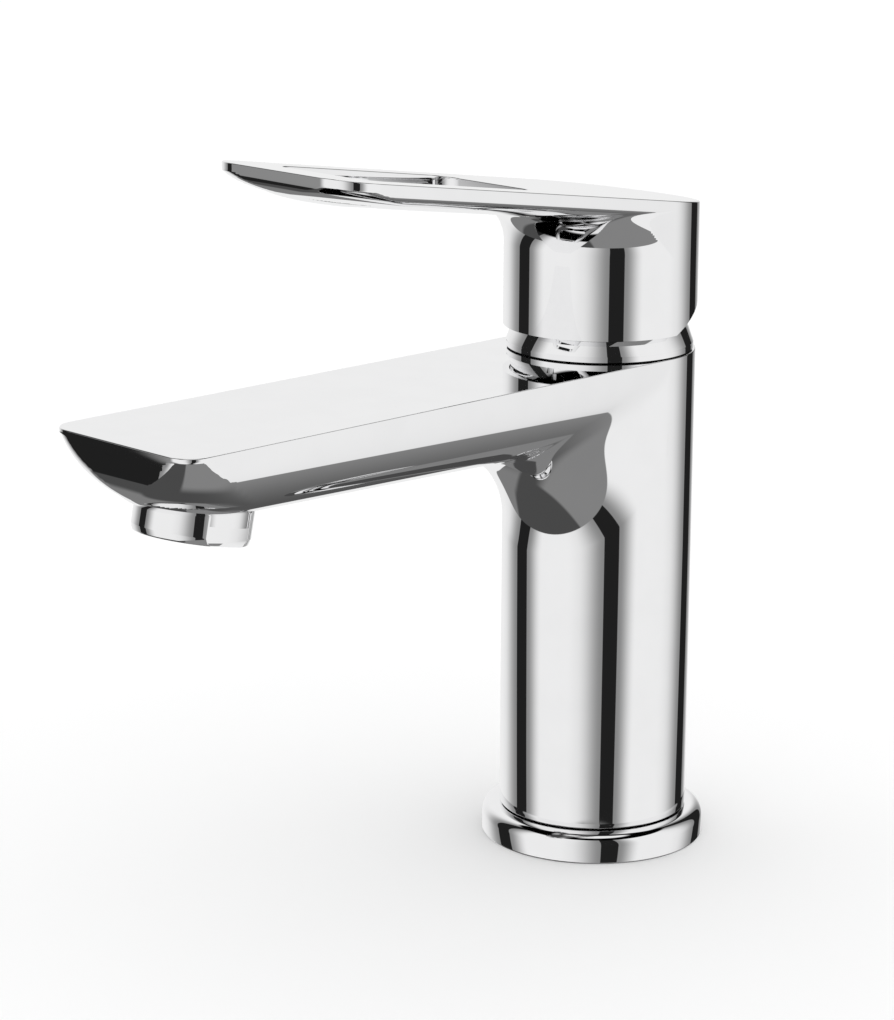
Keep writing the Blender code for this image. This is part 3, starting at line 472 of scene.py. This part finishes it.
        corners = len(mesh.loops)
        vertex_of = np.empty(corners, np.int32)
        mesh.loops.foreach_get("vertex_index", vertex_of)
        spans = np.empty(len(mesh.polygons), np.int32)
        mesh.polygons.foreach_get("loop_total", spans)
        flat = np.empty(len(mesh.polygons) * 3)
        mesh.polygons.foreach_get("normal", flat)
        face_normals = np.repeat(flat.reshape(-1, 3), spans, axis=0)
        split = np.empty(corners * 3)
        mesh.corner_normals.foreach_get("vector", split)
        split = split.reshape(-1, 3)
        wanted = exact[vertex_of]
        agrees = (wanted * face_normals).sum(1) > math.cos(SHARP_ANGLE)
        split[agrees] = wanted[agrees]
        mesh.normals_split_custom_set(split.tolist())
        return mesh


class Detail:
    """How finely a form is ribbed."""

    def __init__(self, back, column, arm, bow, corner, rows):
        self.back_ribs = back
        self.column_ribs = column
        self.arm_ribs = arm
        self.bow_ribs = bow
        self.corner_ribs = corner
        self.rows = rows


# --- Shader nodes ---


class Socket:
    """A node socket that ordinary arithmetic works on; each operation adds its Math or Vector Math node."""

    def __init__(self, tree, socket):
        self.tree = tree
        self.socket = socket

    def math(self, operation, *values):
        node = self.tree.nodes.new("ShaderNodeMath")
        node.operation = operation
        for socket, value in zip(node.inputs, values):
            plug(self.tree, socket, value)
        return Socket(self.tree, node.outputs[0])

    def __add__(self, other):
        return self.math("ADD", self, other)

    def __radd__(self, other):
        return self.math("ADD", other, self)

    def __sub__(self, other):
        return self.math("SUBTRACT", self, other)

    def __rsub__(self, other):
        return self.math("SUBTRACT", other, self)

    def __mul__(self, other):
        return self.math("MULTIPLY", self, other)

    def __rmul__(self, other):
        return self.math("MULTIPLY", other, self)

    def __truediv__(self, other):
        return self.math("DIVIDE", self, other)

    def __abs__(self):
        return self.math("ABSOLUTE", self)

    def ramp(self, start, end):
        """Nothing before start and one after end, eased in between."""
        eased = {"interpolation_type": "SMOOTHSTEP"}
        return add_node(self.tree, "ShaderNodeMapRange", eased, Value=self, From_Min=start, From_Max=end)

    def dot(self, axis):
        node = self.tree.nodes.new("ShaderNodeVectorMath")
        node.operation = "DOT_PRODUCT"
        plug(self.tree, node.inputs[0], self)
        node.inputs[1].default_value = axis
        return Socket(self.tree, node.outputs["Value"])

    def mixed(self, first, second):
        """The first colour where this is 0 and the second where it is 1."""
        node = self.tree.nodes.new("ShaderNodeMix")
        node.data_type = "RGBA"
        plug(self.tree, node.inputs["Factor"], self)
        plug(self.tree, node.inputs[6], first)
        plug(self.tree, node.inputs[7], second)
        return Socket(self.tree, node.outputs[2])


def plug(tree, socket, value):
    if isinstance(value, Socket):
        tree.links.new(value.socket, socket)
    elif hasattr(value, "__len__") and len(value) == 3 and socket.type == "RGBA":
        socket.default_value = (*value, 1)
    else:
        socket.default_value = value


def add_node(tree, kind, settings=None, output=0, **inputs):
    """Adds a node, with its settings first and then its sockets, and gives one of its outputs."""
    node = tree.nodes.new(kind)
    for name, value in (settings or {}).items():
        setattr(node, name, value)
    for name, value in inputs.items():
        plug(tree, node.inputs[name.replace("_", " ")], value)
    return Socket(tree, node.outputs[output])


class Finish:
    """A material under construction."""

    def __init__(self, name, colour, roughness, metallic=0.0, **constants):
        self.material = bpy.data.materials.new(name)
        self.material.use_nodes = True
        self.tree = self.material.node_tree
        self.shader = self.tree.nodes["Principled BSDF"]
        plug(self.tree, self.shader.inputs["Base Color"], colour)
        self.shader.inputs["Roughness"].default_value = roughness
        self.shader.inputs["Metallic"].default_value = metallic
        for socket, value in constants.items():
            self.shader.inputs[socket.replace("_", " ")].default_value = value
        self.material.diffuse_color = (*colour, 1)

    def place(self):
        return add_node(self.tree, "ShaderNodeTexCoord", output="Object")

    def noise(self, size, detail=3.0, roughness=0.5):
        """Noise from 0 to 1 whose features are about that size."""
        return add_node(
            self.tree,
            "ShaderNodeTexNoise",
            {"noise_dimensions": "3D"},
            Vector=self.place(),
            Scale=1 / size,
            Detail=detail,
            Roughness=roughness,
        )

    def cells(self, size):
        """Distance to the nearest grain, with grains about that size."""
        nearest = {"feature": "F1"}
        return add_node(self.tree, "ShaderNodeTexVoronoi", nearest, Vector=self.place(), Scale=1 / size)

    def rings(self, pitch):
        """Fine turning marks round Z."""
        return add_node(
            self.tree,
            "ShaderNodeTexWave",
            {"wave_type": "RINGS", "rings_direction": "Z"},
            Vector=self.place(),
            Scale=1 / pitch / math.tau,
            Distortion=0.6,
            Detail=2.0,
        )

    def set(self, **inputs):
        for name, value in inputs.items():
            plug(self.tree, self.shader.inputs[name.replace("_", " ")], value)
        return self

    def bump(self, height, depth):
        bumped = add_node(self.tree, "ShaderNodeBump", Height=height, Distance=depth, Strength=1.0)
        return self.set(Normal=bumped)


def polished_chrome(settings):
    finish = Finish("polished_chrome", settings.chrome_colour, settings.chrome_roughness, 1.0)
    film = finish.noise(9 * MM, 2.0)
    haze = finish.noise(1.2 * MM, 2.0)
    roughness = settings.chrome_roughness + 0.018 * film.ramp(0.45, 0.8) + 0.008 * haze
    bright = tuple(settings.chrome_colour)
    tint = film.ramp(0.3, 0.7).mixed(bright, tuple(0.985 * channel for channel in bright))
    return finish.set(Roughness=roughness, Base_Color=tint).material


def moulded(name, colour, grain, roughness=0.42):
    finish = Finish(name, colour, roughness)
    cloud = finish.noise(4 * MM)
    texture = finish.cells(grain)
    darker = tuple(0.86 * channel for channel in colour)
    tint = cloud.ramp(0.3, 0.7).mixed(darker, colour)
    finish.set(Base_Color=tint, Roughness=roughness - 0.06 + 0.12 * cloud)
    return finish.bump(texture, 0.01 * MM).material


def rubber():
    finish = Finish("black_rubber", (0.018, 0.018, 0.019), 0.62)
    dust = finish.noise(2.5 * MM, 4.0)
    colour = dust.ramp(0.45, 0.85).mixed((0.016, 0.016, 0.017), (0.04, 0.04, 0.041))
    finish.set(Base_Color=colour, Roughness=0.55 + 0.2 * dust)
    return finish.bump(finish.noise(0.25 * MM), 0.012 * MM).material


def machined(name, colour, roughness):
    finish = Finish(name, colour, roughness, 1.0)
    marks = finish.rings(0.22 * MM)
    stain = finish.noise(3 * MM, 4.0)
    darker = tuple(0.82 * channel for channel in colour)
    tint = stain.ramp(0.35, 0.7).mixed(colour, darker)
    finish.set(Base_Color=tint, Roughness=roughness - 0.05 + 0.14 * stain)
    return finish.bump(marks, 0.004 * MM).material


def ground_ceramic():
    finish = Finish("ground_ceramic", (0.86, 0.85, 0.81), 0.2)
    speck = finish.cells(0.35 * MM)
    colour = speck.ramp(0.0, 0.5).mixed((0.8, 0.79, 0.75), (0.87, 0.86, 0.82))
    return finish.set(Base_Color=colour, Roughness=0.16 + 0.1 * speck).material


# --- Pieces ---


def add_piece(name, mesh, finish, body, node):
    """A finished piece that rides on a CAD body and stands for a CAD node."""
    mesh.materials.clear()
    mesh.materials.append(bpy.data.materials[finish])
    piece = bpy.data.objects.new(name, mesh)
    bpy.context.scene.collection.objects.link(piece)
    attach(piece, body)
    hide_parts(node)


def finish_node(node, finish):
    """A CAD node keeps its shape and gets a better finish."""
    mesh = frame["nodes"][node].data
    mesh.materials.clear()
    mesh.materials.append(finish)


class ShapeSizes(bpy.types.PropertyGroup):
    """The sizes of a column with an arm."""

    radius: FloatProperty(name="Column radius", description="Radius of the round column", unit="LENGTH")
    reach: FloatProperty(name="Reach", description="From the column's axis to the arm's tip", unit="LENGTH")
    edge: FloatProperty(name="Edge", description="Upright edge under the flat top", unit="LENGTH")
    keel_at_tip: FloatProperty(name="Keel at tip", description="Depth of the keel at the tip", unit="LENGTH")
    keel_at_column: FloatProperty(
        name="Keel at column", description="Depth of the keel at the column", unit="LENGTH"
    )
    bow: FloatProperty(name="Bow", description="Length over which the keel rises at the tip", unit="LENGTH")
    bow_power: FloatProperty(name="Bow fullness", description="Higher is squarer", default=2.34)
    corner: FloatProperty(name="Corner", description="Radius of the tip's corners in plan", unit="LENGTH")
    fillet: FloatProperty(name="Fillet", description="Radius where the arm leaves the column", unit="LENGTH")
    rim: FloatProperty(name="Rim", description="Rounding of the top's rim", default=GAP, unit="LENGTH")


class MixerSettings(bpy.types.PropertyGroup):
    """Sizes and colours of the mixer's looks."""

    body: PointerProperty(type=ShapeSizes, name="Body", description="Sizes of the column and spout")
    lever: PointerProperty(type=ShapeSizes, name="Lever", description="Sizes of the handle and lever")
    lever_slope: FloatProperty(name="Lever slope", description="The lever's rise for its run", default=0.1475)
    chrome_colour: FloatVectorProperty(
        name="Chrome", description="Reflectance of the plating", subtype="COLOR", default=(0.955, 0.955, 0.96)
    )
    chrome_roughness: FloatProperty(name="Polish", description="Roughness of the plating", default=0.012)
    camera_distance: FloatProperty(
        name="Camera distance",
        description="From the column's axis, on the floor",
        default=756.6 * MM,
        unit="LENGTH",
    )
    camera_height: FloatProperty(
        name="Camera height", description="Above the floor", default=274.3 * MM, unit="LENGTH"
    )
    camera_azimuth: FloatProperty(
        name="Camera azimuth",
        description="Round from the front, to the right",
        default=math.radians(42.5),
        subtype="ANGLE",
    )
    fill: FloatProperty(name="Fill", description="Brightness of the light on matt surfaces", default=1.12)
    lens: FloatProperty(name="Lens", description="Focal length in millimetres", default=115.7)


def mixer():
    return bpy.context.scene.mixer


def set_default_sizes(settings):
    """Takes the outer sizes from the frame, so that the shells fit it."""
    body = settings.body
    body.radius = high("mixer_body").x
    body.reach = -low("mixer_body").y
    body.edge = 0.55 * MM
    body.keel_at_tip = 17.0 * MM
    body.keel_at_column = 20.4 * MM
    body.bow = 20.0 * MM
    body.bow_power = 2.34
    body.corner = 5.6 * MM
    body.fillet = 25.0 * MM
    body.rim = GAP
    lever = settings.lever
    lever.radius = high("handle").x
    lever.reach = -low("handle").y
    lever.edge = 1.9 * MM
    lever.keel_at_tip = 4.7 * MM
    lever.keel_at_column = 4.7 * MM
    lever.bow = 14.0 * MM
    lever.bow_power = 2.3
    lever.corner = 9.0 * MM
    lever.fillet = 8.0 * MM
    lever.rim = GAP


def body_form():
    return ArmedColumn(mixer().body, 0.0, high("mixer_body").z)


def lever_form():
    lever, slope = mixer().lever, mixer().lever_slope
    return ArmedColumn(lever, slope, high("handle").z - slope * lever.reach)


def aerator_frame():
    """The aerator's own axes: its mouth's centre, and +Z up into the spout."""
    lean = math.radians(12)
    chamfer = 0.7 * MM
    skirt = high("aerator_housing").x
    y = low("aerator_housing").y + skirt * math.cos(lean) - chamfer * math.sin(lean)
    z = low("aerator_housing").z + (skirt - chamfer) * math.sin(lean)
    return Matrix.Translation((0, y, z)) @ Matrix.Rotation(-lean, 4, "X")


class MIXER_OT_body(bpy.types.Operator):
    """Builds the polished body: the column and the spout"""

    bl_idname = "mixer.body"
    bl_label = "Body"

    def execute(self, context):
        form = body_form()
        ring_top = high("base_ring").z
        foot = ring_top + GAP
        spigot = 20.0 * MM
        hollow = 17.0 * MM
        floor = 64.0 * MM
        profile = [(form.radius, foot + GAP)]
        profile += [
            (form.radius - GAP * (1 - math.cos(turn)), foot + GAP * (1 - math.sin(turn)))
            for turn in (0.5, 1.0, math.pi / 2)
        ]
        profile += [(spigot, foot), (spigot, low("mixer_body").z), (hollow, low("mixer_body").z)]
        profile += [(hollow, floor), (0.0, floor)]
        detail = Detail(back=24, column=60, arm=110, bow=14, corner=16, rows=120)
        mesh = form.shell("mixer_body_shell", detail, profile)
        cutters = [self.chamber(form), self.aerator_socket(), *self.floor_holes(floor)]
        mesh = form.polish(carved(mesh, cutters))
        add_piece("polished_body", mesh, "polished_chrome", "body", "mixer_body")
        return {"FINISHED"}

    def chamber(self, form):
        """The cartridge's room, wider above where the nut screws in."""
        wall = 18.1 * MM
        thread = 19.2 * MM
        seat = low("cartridge_nut").z - GAP
        over = form.top + 3 * MM
        profile = [(0, CHAMBER_FLOOR), (wall, CHAMBER_FLOOR), (wall, seat)]
        profile += [(thread, seat), (thread, over), (0, over)]
        return turned("chamber", profile, 96)

    def floor_holes(self, underside):
        """The two threaded inlets with the ports above them, the stud's hole and the two peg holes."""
        through = CHAMBER_FLOOR + 0.5 * MM
        stud = 9 * MM
        below = underside - 3 * MM
        holes = [rod("stud_hole", (0, stud, below), (0, stud, underside + 9 * MM), 3.4 * MM)]
        for side in (-MM, MM):
            for name, x, y, bottom, top, radius in (
                ("inlet", 6.6, -3, below, 72 * MM, 4.6),
                ("port", 4.6, -5, 71.7 * MM, through, 2.4),
                ("peg_hole", 9, 7, 73.7 * MM, through, 1.9),
            ):
                holes.append(rod(name, (side * x, y * MM, bottom), (side * x, y * MM, top), radius * MM))
        return holes

    def aerator_socket(self):
        """The stepped hole that the aerator screws into."""
        mouth, thread = 13.05 * MM, 11.8 * MM
        below, shoulder, end = -3 * MM, 8.2 * MM, 15.7 * MM
        profile = [(0, below), (mouth, below), (mouth, shoulder), (thread, shoulder), (thread, end), (0, end)]
        return turned("aerator_socket", profile, 128, aerator_frame())


class MIXER_OT_handle(bpy.types.Operator):
    """Builds the handle: a cup whose flat top runs on into the looped lever"""

    bl_idname = "mixer.handle"
    bl_label = "Handle"

    def execute(self, context):
        form = lever_form()
        bottom = low("handle").z
        bore = form.radius - 1.55 * MM
        inner = 19.0 * MM
        step = bottom + 5.5 * MM
        ceiling = 148.5 * MM
        boss = 9.0 * MM
        boss_bottom = 135.0 * MM
        greatest_tilt = math.radians(25)

        def lift(y):
            """The cup's lower edge rises behind, which leaves room for the tilt."""
            return bottom + math.tan(greatest_tilt) * max(0.0, y - 1.5 * MM)

        profile = [(form.radius, bottom), (bore, bottom), (bore, step), (inner, step + 2.2 * MM)]
        profile += [(inner, ceiling), (boss, ceiling), (boss, boss_bottom), (0.0, boss_bottom)]
        detail = Detail(back=24, column=60, arm=90, bow=12, corner=18, rows=100)
        mesh = form.shell("handle_shell", detail, profile, lift)
        cutters = [self.loop(form), self.socket(boss_bottom), *self.rear_holes(inner)]
        mesh = form.polish(carved(mesh, cutters))
        add_piece("polished_handle", mesh, "polished_chrome", "lever", "handle")
        return {"FINISHED"}

    def loop(self, form):
        """The finger opening's cutter, flared at both ends so that it leaves rounded edges."""
        half_width = 15.0 * MM
        near, far = -37.0 * MM, -89.0 * MM
        corner = 5.0 * MM
        edge = 0.35 * MM
        half_length = (near - far) / 2
        centre = (0, (near + far) / 2)

        def offset(amount):
            return rounded_rectangle(half_width + amount, half_length + amount, corner + amount, centre)

        def ring(amount, depths):
            return [(x, y, form.top_at(y) - depth) for (x, y), depth in zip(offset(amount), depths)]

        plan = offset(0)
        level = np.zeros(len(plan))
        under = np.zeros(len(plan))
        depths = np.linspace(0.5 * MM, 9 * MM, 400)
        for index, (x, y) in enumerate(plan):
            inside = form.distance(np.full_like(depths, x), np.full_like(depths, y), depths) < 0
            under[index] = depths[inside].max()
        turns = (0, 0.4, 0.8, 1.2, math.pi / 2)
        quarter = [(edge * (1 - math.sin(turn)), edge * (1 - math.cos(turn))) for turn in turns]
        rings = [ring(edge, level - 3 * MM)]
        rings += [ring(out, level + drop) for out, drop in quarter]
        rings += [ring(out, under - rise) for out, rise in reversed(quarter)]
        rings.append(ring(edge, level + 12 * MM))
        return stacked("loop", rings)

    def socket(self, bottom):
        """The square hole that takes the spindle in its sleeve."""
        half = high("spindle_sleeve").x + GAP
        outline = [(half, half), (-half, half), (-half, -half), (half, -half)]
        return prism("socket", outline, bottom - MM, high("spindle").z + 1.2 * MM)

    def rear_holes(self, inner):
        """The set screw's hole, and the wider one behind it that the plug closes."""
        screw, plug = high("handle_set_screw").x + GAP, high("indicator_plug").x + GAP
        height = (low("handle_set_screw").z + high("handle_set_screw").z) / 2
        screw_hole = rod("screw_hole", (0, 4 * MM, height), (0, inner - MM, height), screw)
        plug_hole = rod("plug_hole", (0, inner - 2 * MM, height), (0, 30 * MM, height), plug, 64)
        return [screw_hole, plug_hole]


class MIXER_OT_base_ring(bpy.types.Operator):
    """Builds the base ring and its seal"""

    bl_idname = "mixer.base_ring"
    bl_label = "Base ring"

    def execute(self, context):
        outer = high("base_ring").x
        top = high("base_ring").z
        bore = 20.3 * MM
        seal_bore = 20.6 * MM
        seal_top = high("base_seal").z
        seal_outer = high("base_seal").x
        fine = 0.2 * MM
        profile = rounded(
            [
                (seal_outer + GAP, 0, 0),
                (outer, 0, 0.4 * MM),
                (outer, top, 2.8 * MM),
                (bore, top, fine),
                (bore, seal_top + GAP, 0),
                (seal_outer + GAP, seal_top + GAP, 0),
            ]
        )
        ring = smooth(turned("ring", profile))
        add_piece("polished_base_ring", ring, "polished_chrome", "body", "base_ring")
        corners = ((seal_bore, 0), (seal_outer, 0), (seal_outer, seal_top), (seal_bore, seal_top))
        seal = smooth(turned("seal", rounded([(*corner, fine) for corner in corners], 3)))
        add_piece("soft_base_seal", seal, "black_rubber", "body", "base_seal")
        return {"FINISHED"}


class MIXER_OT_dome(bpy.types.Operator):
    """Builds the dome cover over the cartridge and the slide ring under it"""

    bl_idname = "mixer.dome"
    bl_label = "Dome cover"

    def execute(self, context):
        lip = high("dome_cover").x
        bottom = high("dome_seal").z + GAP
        neck, neck_top = 20.6 * MM, 125.0 * MM
        sweep = math.hypot(neck, neck_top - PIVOT)
        start = math.atan2(neck_top - PIVOT, neck)
        opening = 17.0 * MM
        wall = 1.6 * MM
        spigot = 18.8 * MM
        skirt = low("dome_seal").z + 0.02 * MM
        skirt_bore = high("dome_seal").x + 0.05 * MM
        line = 0.16 * MM
        profile = [(spigot, bottom), (skirt_bore, bottom), (skirt_bore, skirt), (lip, skirt)]
        shadow = bottom + GAP
        profile += [(lip, shadow), (lip - line, shadow), (lip - line, shadow + line)]
        profile.append((lip - 0.04 * MM, shadow + line))
        for radius, shares in ((sweep, np.linspace(0, 1, 14)), (sweep - wall, np.linspace(1, 0, 8))):
            for share in shares:
                turn = start + (math.acos(opening / radius) - start) * share
                profile.append((radius * math.cos(turn), PIVOT + radius * math.sin(turn)))
        bore = 17.4 * MM
        low_end = low("dome_cover").z
        profile += [(bore, bottom + 0.5 * MM), (bore, low_end), (spigot, low_end)]
        dome = smooth(turned("dome", profile))
        add_piece("polished_dome", dome, "polished_chrome", "body", "dome_cover")
        seal_low, seal_high = low("dome_seal").z, high("dome_seal").z
        outer = high("dome_seal").x
        seal_bore = outer - 2 * MM
        seal = [(seal_bore, seal_low), (outer, seal_low), (outer, seal_high), (seal_bore, seal_high)]
        seal = smooth(turned("dome_seal", seal))
        add_piece("soft_dome_seal", seal, "black_rubber", "body", "dome_seal")
        return {"FINISHED"}


class MIXER_OT_aerator(bpy.types.Operator):
    """Builds the aerator: its housing with wrench flats, and the honeycomb insert"""

    bl_idname = "mixer.aerator"
    bl_label = "Aerator"

    def execute(self, context):
        skirt = 12.75 * MM
        mouth = 12.3 * MM
        height = 7.9 * MM
        thread = 11.5 * MM
        thread_top = height + 5.6 * MM
        bore = 10.2 * MM
        lip = 9.0 * MM
        lip_top = 1.2 * MM
        profile = rounded(
            [
                (lip, 0, GAP),
                (mouth, 0, 0.5 * MM),
                (skirt, 1.6 * MM, 0.6 * MM),
                (skirt, height, 0.5 * MM),
                (thread, height, 0),
                (thread, thread_top, GAP),
                (bore, thread_top, GAP),
                (bore, lip_top, 0),
                (lip, lip_top, GAP),
            ]
        )
        housing = turned("aerator_housing_shell", profile, 160)
        flat, beyond = 11.4 * MM, 20 * MM
        flats = []
        for near, far in ((flat, beyond), (-beyond, -flat)):
            outline = [(near, -skirt), (far, -skirt), (far, skirt), (near, skirt)]
            flats.append(prism("flat", outline, -3 * MM, 4.2 * MM))
        housing = smooth(carved(housing, flats))
        housing.transform(aerator_frame())
        add_piece("polished_aerator", housing, "polished_chrome", "body", "aerator_housing")

        face, back, edge = 1.5 * MM, 6.5 * MM, 9.9 * MM
        profile = rounded([(0, face, 0), (edge, face, 0.2 * MM), (edge, back, 0), (0, back, 0)])
        cells = [prism("cell", circle(1.02 * MM, 6, at), 0, 8 * MM) for at in honeycomb(2.15 * MM, 4)]
        insert = smooth(carved(turned("insert", profile, 96), cells))
        insert.transform(aerator_frame())
        add_piece("honeycomb_insert", insert, "grey_plastic", "body", "aerator_insert")
        return {"FINISHED"}


def honeycomb(pitch, rings):
    """Centres of a hexagonal pattern: one in the middle and a number of rings round it."""
    return [
        (pitch * (q + r / 2), pitch * r * math.sqrt(3) / 2)
        for q in range(-rings, rings + 1)
        for r in range(-rings, rings + 1)
        if abs(q + r) <= rings
    ]


class MIXER_OT_finishes(bpy.types.Operator):
    """Makes the materials and gives the inner pieces theirs"""

    bl_idname = "mixer.finishes"
    bl_label = "Finishes"

    def execute(self, context):
        finishes = {
            "chrome": polished_chrome(mixer()),
            "rubber": rubber(),
            "grey_plastic": moulded("grey_plastic", (0.33, 0.34, 0.36), 0.3 * MM),
            "white_plastic": moulded("white_plastic", (0.78, 0.78, 0.75), 0.3 * MM),
            "brass": machined("machined_brass", (0.72, 0.53, 0.24), 0.28),
            "steel": machined("stainless_steel", (0.56, 0.57, 0.58), 0.24),
            "ceramic": ground_ceramic(),
        }
        for row in frame["record"]["subparts"]:
            finish_node(row["node"], finishes[row["material_slot"]])
        return {"FINISHED"}


# Where each soft box stands round the mixer from the camera's side, and its half width, in degrees.
SOFT_BOXES = ((-41.5, 51.5), (79.5, 51.5), (200.0, 48.0))


class MIXER_OT_studio(bpy.types.Operator):
    """Sets up the pale floor, the soft light with its dark gaps, and the camera"""

    bl_idname = "mixer.studio"
    bl_label = "Studio"

    def execute(self, context):
        settings = mixer()
        self.light(settings)
        self.floor()
        self.camera(settings)
        context.scene.view_settings.view_transform = "Standard"
        return {"FINISHED"}

    def light(self, settings):
        world = bpy.data.worlds.new("studio")
        bpy.context.scene.world = world
        world.use_nodes = True
        tree = world.node_tree
        background = tree.nodes["Background"]
        azimuth = settings.camera_azimuth
        looking = add_node(tree, "ShaderNodeTexCoord", output="Generated")
        height = looking.dot((0, 0, 1))
        walls = 0.0145
        for centre, half_width in SOFT_BOXES:
            walls = walls + self.soft_box(looking, azimuth + math.radians(centre), half_width)
        walls = walls * (1 - height.ramp(0.74, 0.78)) + 0.85 * height.ramp(0.93, 0.96)
        drop = 0 - height
        down = drop.math("MAXIMUM", drop, 0.05)
        behind = (0 - looking.dot(self.level_axis(azimuth))) / down
        beside = looking.dot(self.level_axis(azimuth + math.pi / 2)) / down
        back = behind.ramp(-0.05, 0.25)
        front_part = beside.ramp(-0.28, -0.2) * (1 - back)
        back_part = back * beside.ramp(-0.2, 1.7)
        far_part = behind.ramp(0.6, 0.75) * (1 - beside.ramp(-0.3, 0.2)) * 0.85
        parts = front_part + back_part + far_part
        ground = 0.068 + 0.159 * parts.math("MINIMUM", parts, 1)
        below = drop.ramp(0.553, 0.563)
        seen = walls * (1 - below) + ground * below
        mirrored = add_node(tree, "ShaderNodeLightPath", output="Is Glossy Ray")
        level = seen * mirrored + settings.fill * (1 - mirrored)
        grey = add_node(tree, "ShaderNodeCombineColor", Red=level, Green=level, Blue=level)
        plug(tree, background.inputs["Color"], grey)
        background.inputs["Strength"].default_value = 1.0

    def level_axis(self, turn):
        """A level direction, turned from the front towards the right."""
        return (math.sin(turn), -math.cos(turn), 0)

    def soft_box(self, looking, turn, half_width):
        """A tall soft box with cut-off ends, brightest a third of the way along."""
        towards = looking.dot(self.level_axis(turn))
        beside = looking.dot(self.level_axis(turn + math.pi / 2))
        off = beside.math("ARCTAN2", beside, towards) * (180 / math.pi)
        lit = (half_width - abs(off)).ramp(-0.4, 0.4)
        rise = off.ramp(1 - half_width, 24 - half_width)
        fall = 0.85 * (half_width - off).ramp(0, 31) + 0.15 * (half_width - off).ramp(22, 45)
        return lit * (0.235 + 0.625 * rise * fall)

    def floor(self):
        half = 6.0
        corners = [(-half, -half, 0), (half, -half, 0), (half, half, 0), (-half, half, 0)]
        mesh = bpy.data.meshes.new("floor")
        mesh.from_pydata(corners, [], [(0, 1, 2, 3)])
        finish = Finish("pale_floor", (0.93, 0.93, 0.93), 0.9, Specular_IOR_Level=0.0)
        mesh.materials.append(finish.material)
        floor = bpy.data.objects.new("floor", mesh)
        bpy.context.scene.collection.objects.link(floor)
        floor.visible_glossy = False

    def camera(self, settings):
        data = bpy.data.cameras.new("camera")
        data.lens = settings.lens
        data.sensor_width = 36
        camera = bpy.data.objects.new("camera", data)
        bpy.context.scene.collection.objects.link(camera)
        azimuth = settings.camera_azimuth
        away = settings.camera_distance
        place = (away * math.sin(azimuth), -away * math.cos(azimuth), settings.camera_height)
        turn = Matrix.Rotation(math.radians(45.2), 4, "Z")
        tip = Matrix.Rotation(math.radians(90 - 14.46), 4, "X")
        roll = Matrix.Rotation(math.radians(0.3), 4, "Z")
        camera.matrix_world = Matrix.Translation(place) @ turn @ tip @ roll
        bpy.context.scene.camera = camera


STEPS = (
    MIXER_OT_finishes,
    MIXER_OT_body,
    MIXER_OT_handle,
    MIXER_OT_base_ring,
    MIXER_OT_dome,
    MIXER_OT_aerator,
    MIXER_OT_studio,
)


class MIXER_PT_panel(bpy.types.Panel):
    """Lists the mixer's steps and main sizes"""

    bl_idname = "MIXER_PT_panel"
    bl_label = "Basin mixer"
    bl_space_type = "VIEW_3D"
    bl_region_type = "UI"
    bl_category = "Mixer"

    def draw(self, context):
        for step in STEPS:
            self.layout.operator(step.bl_idname)
        settings = context.scene.mixer
        for name in ("chrome_colour", "chrome_roughness", "lever_slope", "camera_distance", "lens"):
            self.layout.prop(settings, name)


CLASSES = (ShapeSizes, MixerSettings, *STEPS, MIXER_PT_panel)


def register():
    for each in CLASSES:
        bpy.utils.register_class(each)
    bpy.types.Scene.mixer = PointerProperty(type=MixerSettings)


def unregister():
    del bpy.types.Scene.mixer
    for each in reversed(CLASSES):
        bpy.utils.unregister_class(each)


def main():
    register()
    set_default_sizes(mixer())
    for step in STEPS:
        group, name = step.bl_idname.split(".")
        getattr(getattr(bpy.ops, group), name)()


if __name__ == "__main__":
    main()
